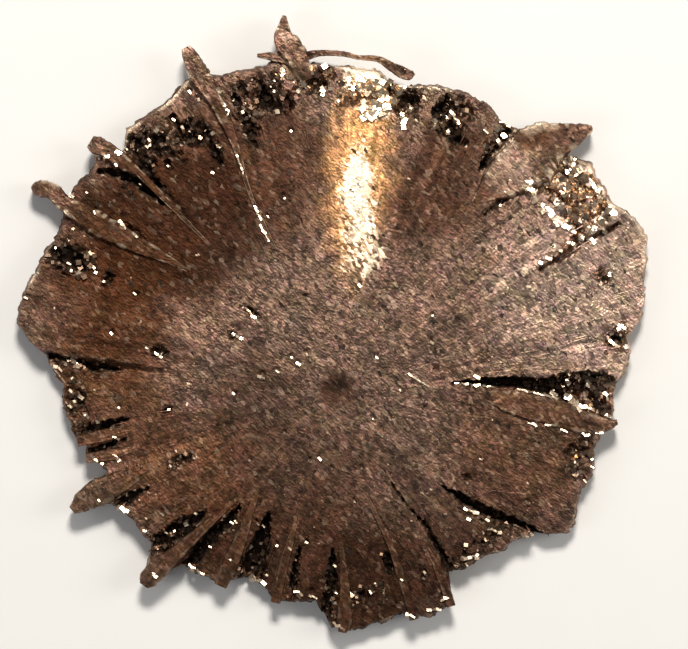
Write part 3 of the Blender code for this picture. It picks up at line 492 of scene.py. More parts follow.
def lit_share(angle):
    """A share that is 1 towards the top, where the key light is, and 0.3 below: it paints highlights on
    bare edges and crystals, and sets how far the shards tilt.
    """
    return 0.3 + 0.7 * ease(0.5 + 0.9 * np.sin(np.radians(angle + 10)))


def cell_value(column, row, seed, wrap=None):
    """A value from 0 to 1 for each whole-numbered cell: what is left of a steep sine wave's height."""
    if wrap:
        column = column % wrap
    wave = np.sin(column * 127.1 + row * 311.7 + seed * 74.7) * 43758.5453
    return wave - np.floor(wave)


def noise(x, y, seed, wrap=None):
    """Soft noise from -1 to 1: each cell corner's own value, eased from corner to corner."""
    column, row = np.floor(x), np.floor(y)
    across, along = ease(x - column), ease(y - row)
    levels = []
    for step in (0, 1):
        left, right = (cell_value(column + side, row + step, seed, wrap) for side in (0, 1))
        levels.append(left * (1 - across) + right * across)
    return 2 * (levels[0] * (1 - along) + levels[1] * along) - 1


def facets(x, y, seed, wrap=None):
    """Flat-topped crystals side by side, heights about -0.5 to 0.5: each place takes the tilted plane of
    the cell centre nearest to it, and each cell has its own tilt and level."""
    column, row = np.floor(x), np.floor(y)
    nearest, height = np.inf, 0.0
    for i in (-1, 0, 1):
        for j in (-1, 0, 1):
            east, north, slope, rise, level = (
                cell_value(column + i, row + j, seed + part, wrap) for part in range(5)
            )
            away_x = x - (column + i + 0.1 + 0.8 * east)
            away_y = y - (row + j + 0.1 + 0.8 * north)
            away = away_x**2 + away_y**2
            plane = away_x * (slope - 0.5) + away_y * (rise - 0.5) + 0.6 * (level - 0.5)
            height = np.where(away < nearest, plane, height)
            nearest = np.minimum(away, nearest)
    return height


def grained(shape, x, y, size, seed):
    """Noise or facets over the plane, in cells of a size."""
    return shape(x / size, y / size, seed)


def ringed(shape, angle, count, seed, along=0.0):
    """Noise or facets round the disc, count cells to a turn, and from cell to cell as along grows by 1."""
    return shape(angle / 360 * count, along, seed, wrap=count)


def along_path(x, y, stations):
    """Distance to the side of a band that runs through the stations, negative inside the band, and the
    stations' last value there. A station is an angle, a distance, a width and perhaps more."""
    edge, value = np.full(np.shape(x), np.inf), np.zeros(np.shape(x))
    for start, end in zip(stations, stations[1:]):
        start_x, start_y = places(start[0], start[1] * MM)
        end_x, end_y = places(end[0], end[1] * MM)
        run_x, run_y = end_x - start_x, end_y - start_y
        share = np.clip(((x - start_x) * run_x + (y - start_y) * run_y) / (run_x**2 + run_y**2), 0, 1)
        away = np.hypot(x - start_x - share * run_x, y - start_y - share * run_y)
        away = away - (start[2] + (end[2] - start[2]) * share) * 0.5 * MM
        value = np.where(away < edge, start[-1] + (end[-1] - start[-1]) * share, value)
        edge = np.minimum(edge, away)
    return edge, value


def edge_of_oval(x, y, angle, radius, length, width):
    """Distance to the side of an oval, roughly, negative inside it."""
    centre_x, centre_y = places(angle, radius * MM)
    out_x, out_y = places(angle, 1.0)
    along = (x - centre_x) * out_x + (y - centre_y) * out_y
    across = (y - centre_y) * out_x - (x - centre_x) * out_y
    half_length, half_width = length * 0.5 * MM, width * 0.5 * MM
    return (np.hypot(along / half_length, across / half_width) - 1) * min(half_length, half_width)


# The sun's own form

def rim_radius(angle):
    """Distance of the rim, straight from one corner to the next in angle."""
    return np.interp(angle, RIM[:, 0], RIM[:, 1], period=360) * MM


def fluting(angle):
    """Sum of cosine waves round the disc."""
    return MM * sum(height * np.cos(np.radians(crests * (angle - crest))) for crests, height, crest in FLUTES)


def ribbing(angle):
    """Sum of narrow ribs and grooves, each a tent over its own line."""
    chance = random.Random(FORM_SEED)
    total = np.zeros(np.shape(angle))
    for _ in range(RIB_COUNT):
        line = chance.uniform(0, 360)
        half = chance.uniform(*RIB_HALF_WIDTH)
        height = chance.uniform(*RIB_HEIGHT)
        total += height * np.maximum(0.0, 1 - np.abs(turn_from(line, angle)) / half)
    return total


def ledge_lift(angle, radius):
    """Half of each ledge's step on either side of its line, dying away to both sides and inwards."""
    total = 0.0
    for line, start, step in LEDGES:
        turn = turn_from(line, angle) + 0.6 * noise(radius / (1.3 * MM), line, 7)
        rise = ease((radius - start * MM) / LEDGE_RUN) * np.exp(-np.abs(turn) / LEDGE_FADE)
        half_turn = LEDGE_HALF_TURNS[abs(step) <= TALL_LEDGE]
        total += 0.5 * step * MM * np.clip(turn / half_turn, -1, 1) * rise
    return total


def bare_face(angle, radius):
    """Height of the face with no hollow or roughness: a low dome with a dimple, waves, ribs and ledges."""
    share = np.minimum(radius / rim_radius(angle), 1.0)
    dome = HUB_HEIGHT - RIM_DROP * share**2 - DIMPLE_DEPTH * np.exp(-((radius / DIMPLE_RADIUS) ** 2))
    return dome + share**RELIEF_GROWTH * (fluting(angle) + ribbing(angle)) + ledge_lift(angle, radius)


def vug_share(x, y):
    """From 0 to 1, how deep the spongy places are eaten: wherever two noises together pass a level."""
    eaten = 0.62 * grained(noise, x, y, 1.15 * MM, 131) + 0.5 * grained(noise, x, y, 0.55 * MM, 134)
    inside = 0.0
    for oval in VUGS:
        inside = np.maximum(inside, ease(0.35 - edge_of_oval(x, y, *oval) / (1.6 * MM)))
    return ease((eaten + 0.3 * inside - 0.32) / 0.3) * inside


def nick_depth(x, y):
    """A small nick just north of each spark and of each short shard, which the painted shade of the
    hollows makes dark.
    """
    nicks = [(px, py, SPARK_SIZE[0]) for px, py in SPARKS]
    nicks += [shard[:3] for shard in SHARDS if shard[2] < SHORT_SHARD]
    depth = 0.0
    for px, py, length in nicks:
        nick_x, nick_y = from_photo(px, py - 0.55 * length)
        reach = 0.15 * MM + 0.14 * length * PIXEL
        depth = np.maximum(depth, NICK_DEPTH * np.exp(-((x - nick_x) ** 2 + (y - nick_y) ** 2) / reach**2))
    return depth


def hollow_depth(x, y, surface):
    """Depth of the spongy places and nicks, of the crevices, which drop steeply inside their sides, and of
    the pits, which are oval bowls. Sides are more ragged farther out."""
    rough = ease((np.hypot(x, y) - 10 * MM) / (14 * MM))
    ragged = (0.15 + 0.3 * rough) * MM * grained(facets, x, y, 0.8 * MM, 31)
    ragged = ragged + 0.1 * MM * grained(noise, x, y, 0.4 * MM, 36)
    depth = np.maximum(surface.vug_depth * vug_share(x, y), nick_depth(x, y))
    for floor, stations in CREVICES:
        inside = ragged - along_path(x, y, stations)[0]
        depth = np.maximum(depth, floor * MM * ease(inside / CREVICE_SIDE + 0.15))
    for *oval, floor in PITS:
        inside = 1.3 * ragged - edge_of_oval(x, y, *oval)
        depth = np.maximum(depth, floor * MM * ease(inside / PIT_SIDE + 0.15))
    return depth


def painted_shade_share(angle, depth, full):
    """From 0 to 1, how much shade is painted into a hollow at a depth: all of it from the full depth
    on, less of it in the hollows listed as less shaded."""
    clean = sum(ease(1.5 - np.abs(turn_from(line, angle)) / half) for line, half in LESS_SHADED_HOLLOWS)
    return ease(depth / full) * (1 - 0.8 * clean)


def plank_height(angle, radius, relief):
    """Planks of three widths, the finer ones only farther out, where they have room."""
    share = np.minimum(radius / rim_radius(angle), 1.0)
    total = 0.0
    for power, (count, length, height, seed) in enumerate(PLANKS, 1):
        total = total + height * share**power * ringed(facets, angle, count, seed, radius / (length * MM))
    return relief * total


def face_height(angle, radius, surface, depth=None):
    """The whole face: its bare form, its planks, and its hollows with their crystal floors."""
    x, y = places(angle, radius)
    if depth is None:
        depth = hollow_depth(x, y, surface)
    sunk = ease(depth / (0.8 * MM))
    floor = surface.floor_relief * grained(facets, x, y, FLOOR_CRYSTAL, 71) * sunk
    planks = plank_height(angle, radius, surface.plank_relief) * (1 - sunk)
    return bare_face(angle, radius) - FACE_SINK - depth + floor + planks


# Skins. A grid is an array of rings of points, and a point is its place and then its values.

def between(ring, following):
    """Faces from one ring to the next, which has as many points, twice as many or half as many."""
    if len(ring) > len(following):
        return between(following, ring)[:, ::-1]
    after = np.roll(ring, -1)
    if len(ring) == len(following):
        return stacked(ring, following, np.roll(following, -1), after)
    first, middle, last = following[::2], following[1::2], np.roll(following[::2], -1)
    corners = (ring, first, middle), (ring, middle, after), (after, middle, last)
    return np.concatenate([stacked(*three) for three in corners])


def closed_skin(grids, first, last):
    """One closed skin over grids of rings that follow one another, with a pole at each end. Gives its
    points and groups of its faces."""
    rings, start = [], 0
    for grid in grids:
        numbers = start + np.arange(grid.shape[0] * grid.shape[1])
        rings += list(numbers.reshape(grid.shape[:2]))
        start += len(numbers)
    groups = [between(ring, following) for ring, following in zip(rings, rings[1:])]
    for pole, ring in ((start, rings[0]), (start + 1, rings[-1][::-1])):
        groups.append(stacked(pole, ring, np.roll(ring, -1)))
    return np.concatenate([grid.reshape(-1, grid.shape[2]) for grid in grids] + [[first, last]]), groups


def crest(height):
    """How far each point of a grid stands above the mean of the points two steps away from it."""
    padded = np.pad(height, ((2, 2), (0, 0)), mode="edge")
    around = padded[:-4] + padded[4:] + np.roll(height, 2, axis=1) + np.roll(height, -2, axis=1)
    return height - around / 4


def lit_sides(x, y, surface):
    """From 0 to 1, a painted highlight on a hollow's side where it rises steeply towards the south, where
    the key light strikes it.
    """
    reach = 0.1 * MM
    rise = hollow_depth(x, y + reach, surface) - hollow_depth(x, y - reach, surface)
    patchy = ease(0.35 + 1.8 * grained(noise, x, y, 0.6 * MM, 141))
    return 0.7 * patchy * ease(rise / (0.9 * MM) - 0.25)


def face_grids(surface, chance, angle, rim, teeth):
    """The face as grids of rings, coarser round the centre. A ring is round at the centre and takes the
    rim's outline bit by bit. A point's values are its painted shade and how bare it is, which is crest
    wear together with painted highlights on the lit sides of hollows."""
    share = np.arange(1, surface.face_rows + 1)[:, None] / surface.face_rows
    grids = []
    for low, high, skip in FACE_ZONES:
        rows = share[(share[:, 0] > low) & (share[:, 0] <= high)]
        radius = rows * (MEAN_RADIUS + (rim[::skip] - MEAN_RADIUS) * rows**2) + teeth[::skip] * rows**10
        line = np.broadcast_to(angle[::skip], radius.shape)
        x, y = places(line, radius)
        depth = hollow_depth(x, y, surface)
        height = face_height(line, radius, surface, depth)
        worn = 0.12 * ease(crest(height + depth) / (0.12 * MM) - 0.4)
        height = height + surface.grit * chance.normal(size=height.shape) * np.minimum(radius / (6 * MM), 1)
        # Bare metal colour here is crest wear and a painted highlight on the hollows' lit sides.
        bare = np.maximum(worn, lit_sides(x, y, surface))
        grids.append(stacked(x, y, height, painted_shade_share(line, depth, FULL_SHADE_DEPTH), bare))
    return grids


def rim_teeth(surface, angle):
    """How far the rim reaches beyond its corners' line: facets of three widths, quiet in places."""
    rough = 0.35 + 0.65 * ease(0.5 + 1.2 * ringed(noise, angle, 36, 84))
    teeth = sum(height * ringed(facets, angle, count, seed) for count, height, seed in TEETH)
    return surface.rim_teeth * rough * teeth


def disc_skin(surface, chance):
    """The closed skin of the disc. One parameter runs round it; the other runs from the centre of the face
    out to the rim, down the rough wall and in again below, where it is flat as far as the rest radius and
    then grooved along the radius and eased up to the rim."""
    angle = np.arange(surface.columns) * 360 / surface.columns
    rim, teeth = rim_radius(angle), rim_teeth(surface, angle)
    grids = face_grids(surface, chance, angle, rim, teeth)
    edge = grids[-1][-1]
    # Painted highlights: glints along the rim, brighter towards the key light, which also run a little way
    # down the wall.
    shine = 0.55 * lit_share(angle) * ease(2.2 * ringed(noise, angle, 110, 87) - 0.2)
    edge[:, 4] = np.maximum(edge[:, 4], shine)

    fall = (np.arange(1, WALL_ROWS + 1) / WALL_ROWS)[:, None]
    under_edge = RIM_LIFT + UNDER_FLUTING * fluting(angle + UNDER_TURN)
    rough = ringed(facets, angle, 260, 91, fall * 3.2) + 0.6 * ringed(facets, angle, 120, 96, fall * 2)
    radius = rim + teeth + (0.3 * MM + 0.55 * MM * rough) * np.sin(np.pi * fall)
    height = edge[:, 2] * (1 - fall) + under_edge * fall
    bare = np.maximum(0.3 * ease(0.5 * rough), shine * ease(1.3 - 5 * fall))
    grids.append(stacked(*places(angle, radius), height, 0.0, bare))

    for high, low, skip in UNDER_ZONES:
        line, outer = angle[::skip], rim[::skip]
        radius = np.linspace(high, low, UNDER_ROWS)[:, None] * (rim + teeth)[::skip]
        out = np.clip((radius - REST_RADIUS) / (outer - REST_RADIUS), 0, 1)
        groove = np.maximum(0, ringed(facets, line, 150, 101, radius / (6 * MM))) * 0.3 * MM
        height = ease(out) * under_edge[::skip] + groove * ease(out * 4 + 0.15)
        grids.append(stacked(*places(line, radius), height, 0.0, 0.0))
    return closed_skin(grids, (0, 0, HUB_HEIGHT - DIMPLE_DEPTH - FACE_SINK, 0, 0), (0, 0, 0, 0, 0))


def smooth_run(values, steps):
    """Values between stations by cubic pieces whose slopes are the mean of their neighbours' slopes."""
    slopes = np.gradient(values)
    index = np.minimum(steps.astype(int), len(values) - 2)
    t = steps - index
    return (
        (2 * t**3 - 3 * t**2 + 1) * values[index] + (t**3 - 2 * t**2 + t) * slopes[index]
        + (-2 * t**3 + 3 * t**2) * values[index + 1] + (t**3 - t**2) * slopes[index + 1]
    )


def lath_skin(thickness, stations, seed):
    """A lath: a flat-backed section with crisp sides carried along its stations, closed at both ends. Its
    middle line is a smooth run through the stations, and its width goes straight from one to the next. A
    point's value is how bare it is: wear on its shoulders and thin tails, made stronger towards the key
    light as a painted highlight."""
    table = np.array(stations, float)
    steps = np.linspace(0, len(table) - 1, LATH_STEPS * (len(table) - 1) + 1)
    angle, radius, lift = (smooth_run(table[:, column], steps) for column in (0, 1, 3))
    width = np.interp(steps, np.arange(len(table)), table[:, 2]) * MM
    x, y = places(angle, radius * MM)
    z = bare_face(angle, np.minimum(radius * MM, rim_radius(angle))) + lift * MM
    length = np.hypot(np.gradient(x), np.gradient(y))
    along = (np.cumsum(length) - length[0])[:, None] / MM
    parts = (x, y, z, np.gradient(x) / length, np.gradient(y) / length, lit_share(angle))
    x, y, z, run_x, run_y, lit = (part[:, None] for part in parts)

    mark = np.sign(LATH_SIDE)
    wander = 1 + 0.13 * facets(mark * 3 + seed, along * 0.9, seed + 17)
    wander = wander + 0.1 * facets(mark * 3, along * 2.3, seed)
    half = np.maximum(width / 2, THINNEST_LATH)[:, None] * wander
    swell = np.minimum(1.0, half / (0.7 * MM))
    across = LATH_SIDE * half
    ridge = facets(across / (1.3 * MM) + seed, along * 0.28, seed) * 0.10 * MM
    chips = facets(across / (0.5 * MM), along * 1.6, seed + 9) * 0.045 * MM
    height = (ridge + chips) * swell * (LATH_DOWN < 0.3)
    height = height - LATH_DOWN * thickness * MM * np.minimum(1, 0.35 + swell)
    patchy = ease(1.7 * noise(mark * 5 + seed, along * 1.8, seed + 5))
    # Wear on the shoulders and thin tails, times a painted highlight share towards the key light.
    worn = LATH_WORN * np.maximum(patchy, 0.8 * ease(1.5 - half / (0.3 * MM))) * lit
    grid = stacked(x + across * run_y, y - across * run_x, z + height, worn)
    tip, root = grid[-1].mean(axis=0), grid[0].mean(axis=0)
    tip[3], root[3] = 0.5, 0.0
    return closed_skin([grid[::-1]], tip, root)


def joined(skins):
    """Several skins as one: the faces of each count on from the points before it."""
    starts = np.cumsum([0] + [len(points) for points, _ in skins])
    groups = [group + start for start, (_, part) in zip(starts, skins) for group in part]
    return np.concatenate([points for points, _ in skins]), groups


def add_piece(name, material, points, groups, **values):
    """A mesh object at the origin that rides with the sun, with no point outside the solid's box. A value
    is one for each point."""
    mesh = bpy.data.meshes.new(name)
    faces = [face for group in groups for face in group.tolist()]
    mesh.from_pydata(np.clip(points, *np.array(CAD_BOX)), [], faces)
    for label, value in values.items():
        layer = mesh.attributes.new(label, "FLOAT", "POINT")
        layer.data.foreach_set("value", value.astype(np.float32))
    mesh.materials.append(material)
    piece = bpy.data.objects.new(name, mesh)
    bpy.context.scene.collection.objects.link(piece)
    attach(piece, "root")
    return piece


# Small crystals: the corners and faces of one, and the turns and places of its copies

OCTAHEDRON = (
    0.5 * np.array([(1, 0, 0), (0, 1, 0), (-1, 0, 0), (0, -1, 0), (0, 0, 1), (0, 0, -1)]),
    np.array([(0, 1, 4), (1, 2, 4), (2, 3, 4), (3, 0, 4), (1, 0, 5), (2, 1, 5), (3, 2, 5), (0, 3, 5)]),
)
CUBE = (
    0.5 * np.array([(x, y, z) for z in (-1, 1) for y in (-1, 1) for x in (-1, 1)]),
    np.array([(0, 2, 3, 1), (4, 5, 7, 6), (0, 1, 5, 4), (2, 6, 7, 3), (0, 4, 6, 2), (1, 3, 7, 5)]),
)
CUBE_REACH = 0.87  # from a cube's middle to its corners, for an edge of 1


def add_crystals(name, material, crystal, frames, centres, sizes, **values):
    """Copies of one small closed crystal as one piece: the corners of each are size x corner, turned by its
    frame and set down at its centre. A value is one for each copy."""
    corners, faces = crystal
    points = np.einsum("nij,nkj->nki", frames, corners[None] * sizes[:, None, :]) + centres[:, None, :]
    starts = np.arange(len(centres))[:, None, None] * len(corners)
    groups = [(starts + faces).reshape(-1, faces.shape[1])]
    values = {label: np.repeat(value, len(corners)) for label, value in values.items()}
    add_piece(name, material, points.reshape(-1, 3), groups, **values)


def unit(vectors):
    return vectors / np.linalg.norm(vectors, axis=1)[:, None]


def frames_from(run, up):
    """Turns as matrices whose first axis is as near to run as up allows, and whose third axis is up."""
    up = unit(up)
    run = unit(run - up * (run * up).sum(axis=1)[:, None])
    return stacked(run, np.cross(up, run), up)


def leaning_frames(heading, east, north):
    """Frames that run at a heading in degrees and whose third axis leans by a slope east and one north."""
    return frames_from(stacked(*places(heading, 1.0), 0.0), stacked(east, north, 1.0))


def blade_frames(heading, rise, lean):
    """Frames that run at a heading in degrees, rise by a slope and lean over sideways by another."""
    out_x, out_y = places(heading, 1.0)
    return frames_from(stacked(out_x, out_y, rise), stacked(out_y * lean, -out_x * lean, 1.0))


def any_turns(chance, count):
    """Turns in every direction alike, as matrices, each from four normally spread numbers."""
    four = chance.normal(size=(4, count))
    w, x, y, z = four / np.linalg.norm(four, axis=0)
    rows = [
        [1 - 2 * (y * y + z * z), 2 * (x * y - w * z), 2 * (x * z + w * y)],
        [2 * (x * y + w * z), 1 - 2 * (x * x + z * z), 2 * (y * z - w * x)],
        [2 * (x * z - w * y), 2 * (y * z + w * x), 1 - 2 * (x * x + y * y)],
    ]
    return np.moveaxis(np.array(rows), 2, 0)


def random_places(chance, count, inner, outer_share):
    """Places spread evenly over the face from inner to a share of the rim's distance."""
    angle = chance.uniform(0, 360, count)
    outer = rim_radius(angle) * outer_share
    return angle, np.sqrt(chance.uniform(0, 1, count) * (outer**2 - inner**2) + inner**2)


def chips_of(chance, px, py, length, width, heading):
    """The chips that make up one shining place, as rows of x, y, length, width and heading: side by side
    along its heading, scattered across it."""
    broad = 1 + max(width - 4, 0) / 14
    count = max(1, round(length * max(width, 3) / (15 * broad)))
    middle_x, middle_y = from_photo(px, py)
    along = np.linspace(-0.5, 0.5, count + 2)[1:-1] * length * PIXEL + 0.1 * MM * chance.normal(size=count)
    across = chance.uniform(-0.5, 0.5, count) * max(width - 3, 0) * PIXEL
    run_x, run_y = places(heading, 1.0)
    long = np.minimum(length, 3 + 3 * broad) * chance.uniform(0.5, 1.15, count) * PIXEL
    wide = np.minimum(width, 3.4 * broad) * chance.uniform(0.55, 1.15, count) * PIXEL
    return stacked(
        middle_x + along * run_x - across * run_y, middle_y + along * run_y + across * run_x,
        long, wide, heading + 15 * broad * chance.normal(size=count),
    )


# Nodes

def feed(tree, socket, value):
    """Sets a socket to a value, or links another node's output to it."""
    if isinstance(value, bpy.types.NodeSocket):
        tree.links.new(value, socket)
    else:
        socket.default_value = value


def node(tree, kind, *values, **named):
    """A node. The values go to its inputs in use, in order. A name that starts with a capital is another
    input's, and any other name is one of the node's own options."""
    made = tree.nodes.new("ShaderNode" + kind)
    for label, value in named.items():
        if label[0].islower():
            setattr(made, label, value)
        else:
            feed(tree, made.inputs[label], value)
    for socket, value in zip([socket for socket in made.inputs if socket.enabled], values):
        feed(tree, socket, value)
    return made


def result(tree, kind, *values, **named):
    """The first output in use of a new node."""
    return next(socket for socket in node(tree, kind, *values, **named).outputs if socket.enabled)


def maths(tree, operation, *values):
    return result(tree, "Math", *values, operation=operation)


def vector(tree, operation, *values):
    return result(tree, "VectorMath", *values, operation=operation)


def spread(tree, value, low, high, to_low=0.0, to_high=1.0):
    """Value from low to high eased on to another range."""
    return result(tree, "MapRange", value, low, high, to_low, to_high, interpolation_type="SMOOTHSTEP")


def blend(tree, share, first, second, mode="MIX"):
    return result(tree, "Mix", share, first, second, data_type="RGBA", blend_type=mode)


def texture(tree, place, scale, detail, roughness, distortion=0.0):
    """A noise over the place: its value and its colour."""
    return node(
        tree, "TexNoise", Vector=place, Scale=scale, Detail=detail, Roughness=roughness, Distortion=distortion
    ).outputs


def colour(value):
    return (*value, 1.0)


def new_group(name, inputs, outputs, kind="Float"):
    """An empty shader group, with what its inputs put out and what its outputs take in. Inputs have their
    defaults, None for a vector, and the outputs are all of one kind."""
    group = bpy.data.node_groups.new(name, "ShaderNodeTree")
    kinds = {type(None): "Vector", tuple: "Color", float: "Float"}
    for label, value in inputs.items():
        socket_type = "NodeSocket" + kinds[type(value)]
        socket = group.interface.new_socket(label, in_out="INPUT", socket_type=socket_type)
        if value is not None:
            socket.default_value = value
    for label in outputs:
        group.interface.new_socket(label, in_out="OUTPUT", socket_type="NodeSocket" + kind)
    return group, group.nodes.new("NodeGroupInput").outputs, group.nodes.new("NodeGroupOutput").inputs


def effect(tree, name, **inputs):
    """The outputs of one of the shared groups, placed in a material or in another group."""
    made = tree.nodes.new("ShaderNodeGroup")
    made.node_tree = bpy.data.node_groups[name]
    for label, value in inputs.items():
        feed(tree, made.inputs[label], value)
    return made.outputs


def oval_distance(tree, place, angle, radius, half_length, half_width):
    """Distance from the middle of an oval set along the radius, 1 at its side, whatever the height."""
    inside = result(
        tree, "Mapping", vector_type="TEXTURE", Vector=place, Location=(*places(angle, radius * MM), 0),
        Rotation=(0, 0, math.radians(angle)), Scale=(half_length * MM, half_width * MM, 1),
    )
    return vector(tree, "LENGTH", vector(tree, "MULTIPLY", inside, (1, 1, 0)))


def radial_fibre_group():
    """Fibres that fan out: noise read at the place's direction from the centre, many times finer across
    than along, so that each fibre widens as it runs out. They are faint round the centre."""
    group, entry, leave = new_group(
        "radial_fibres", {"Place": None, "Across": 90.0, "Along": 160.0}, ["Height"]
    )
    flat = vector(group, "MULTIPLY", entry["Place"], (1, 1, 0))
    far = vector(group, "LENGTH", flat)
    across = vector(group, "SCALE", vector(group, "NORMALIZE", flat), entry["Across"])
    along = result(group, "CombineXYZ", Z=maths(group, "MULTIPLY", far, entry["Along"]))
    waves = texture(group, vector(group, "ADD", across, along), 1.0, 4.0, 0.6, 0.15)["Fac"]
    near = spread(group, far, 6 * MM, 34 * MM, 0.05, 1.0)
    swing = maths(group, "SUBTRACT", waves, 0.5)
    feed(group, leave["Height"], maths(group, "MULTIPLY_ADD", swing, near, 0.5))


def crystal_facet_group():
    """Small crystals, each a rough plane at its own tilt and longer from upper left to lower right. A
    cell's own random colour gives the plane's slope, with Lean added, and the values Tone and Hue. Glint
    picks out a few cells, which tilt more."""
    group, entry, leave = new_group(
        "crystal_facets", {"Place": None, "Cells": 2600.0, "Lean": None}, ["Height", "Tone", "Glint", "Hue"]
    )
    long = result(
        group, "Mapping", vector_type="TEXTURE", Vector=entry["Place"], Scale=(1.9, 1.0, 1.0),
        Rotation=(0, 0, math.radians(SPARK_HEADING)),
    )
    where = vector(group, "SCALE", long, entry["Cells"])
    cells = node(group, "TexVoronoi", Vector=where, Scale=1.0).outputs
    tone, green, hue = node(group, "SeparateColor", Color=cells["Color"]).outputs
    glint = spread(group, green, 0.955, 0.985)
    slope = vector(group, "SUBTRACT", cells["Color"], (0.5, 0.5, 0.5))
    slope = vector(group, "SCALE", slope, maths(group, "MULTIPLY_ADD", glint, 1.4, 0.7))
    slope = vector(group, "ADD", slope, entry["Lean"])
    height = vector(group, "DOT_PRODUCT", vector(group, "SUBTRACT", where, cells["Position"]), slope)
    pebbles = texture(group, where, 1.6, 2.0, 0.5)["Fac"]
    height = maths(group, "MULTIPLY_ADD", pebbles, 0.9, height)
    for label, value in (("Height", height), ("Tone", tone), ("Glint", glint), ("Hue", hue)):
        feed(group, leave[label], value)


def mottle_group():
    """Patches of tarnish a few millimetres wide and smaller, drawn out along the radius: each a value about
    1 to multiply by, and a faint cast of red, olive or violet."""
    group, entry, leave = new_group("tarnish_mottle", {"Place": None}, ["Shade"], "Color")
    bands = effect(group, "radial_fibres", Place=entry["Place"], Across=24.0, Along=60.0)["Height"]
    patches = texture(group, entry["Place"], 380.0, 3.0, 0.6)
    specks = texture(group, entry["Place"], 1500.0, 2.0, 0.6)["Fac"]
    level = spread(group, bands, 0.3, 0.7, 0.78, 1.18)
    level = maths(group, "MULTIPLY", level, spread(group, patches["Fac"], 0.3, 0.7, 0.76, 1.26))
    level = maths(group, "MULTIPLY", level, spread(group, specks, 0.3, 0.7, 0.78, 1.22))
    cast = vector(group, "SUBTRACT", patches["Color"], (0.5, 0.5, 0.5))
    cast = vector(group, "MULTIPLY_ADD", cast, (0.3, 0.3, 0.4), (1, 1, 1))
    feed(group, leave["Shade"], vector(group, "SCALE", cast, level))


def sun_tint_group():
    """Broad tints of tarnish: the mauve grey of the centre, with each tint laid over it in a soft oval
    whose edge wanders with a noise."""
    names = dict.fromkeys(TINT_NAMES, (0.2, 0.1, 0.05, 1.0))
    group, entry, leave = new_group("sun_tints", {"Place": None, **names}, ["Colour"], "Color")
    wander = texture(group, entry["Place"], 170.0, 5.0, 0.65)["Color"]
    shift = vector(group, "SUBTRACT", wander, (0.5, 0.5, 0.5))
    tinted = entry["mauve_grey"]
    for reach, tints in ((16 * MM, TINTS), (3 * MM, CLOSE_TINTS)):
        place = vector(group, "ADD", entry["Place"], vector(group, "SCALE", shift, reach))
        for angle, radius, length, width, name, strength in tints:
            away = oval_distance(group, place, angle, radius, length / 2, width / 2)
            tinted = blend(group, spread(group, away, 1.25, 0.35, 0.0, strength), tinted, entry[name])
    feed(group, leave["Colour"], tinted)


def painted_highlight_streak_group():
    """The band a little right of straight up where a highlight is painted and the crystals lean outwards.
    Share paints the highlight in bare metal colour, Halo paints its amber fringe, Lean is for the facets.
    Each is the greatest of a few ovals along the radius, frayed by noise."""
    group, entry, leave = new_group("painted_highlight_streak", {"Place": None}, STREAK_OVALS)
    fray = texture(group, entry["Place"], 420.0, 6.0, 0.7)["Fac"]
    for label, ovals in STREAK_OVALS.items():
        most = 0.0
        for *oval, strength in ovals:
            ragged = maths(group, "MULTIPLY_ADD", fray, 1.3, oval_distance(group, entry["Place"], *oval))
            most = maths(group, "MAXIMUM", most, spread(group, ragged, 1.85, 0.85, 0.0, strength))
        feed(group, leave[label], most)


def new_material(name):
    """A material's own node tree, its shader's inputs and the place on the piece."""
    material = bpy.data.materials.new(name)
    material.use_nodes = True
    tree = material.node_tree
    place = node(tree, "TexCoord").outputs["Object"]
    return material, tree, tree.nodes["Principled BSDF"].inputs, place


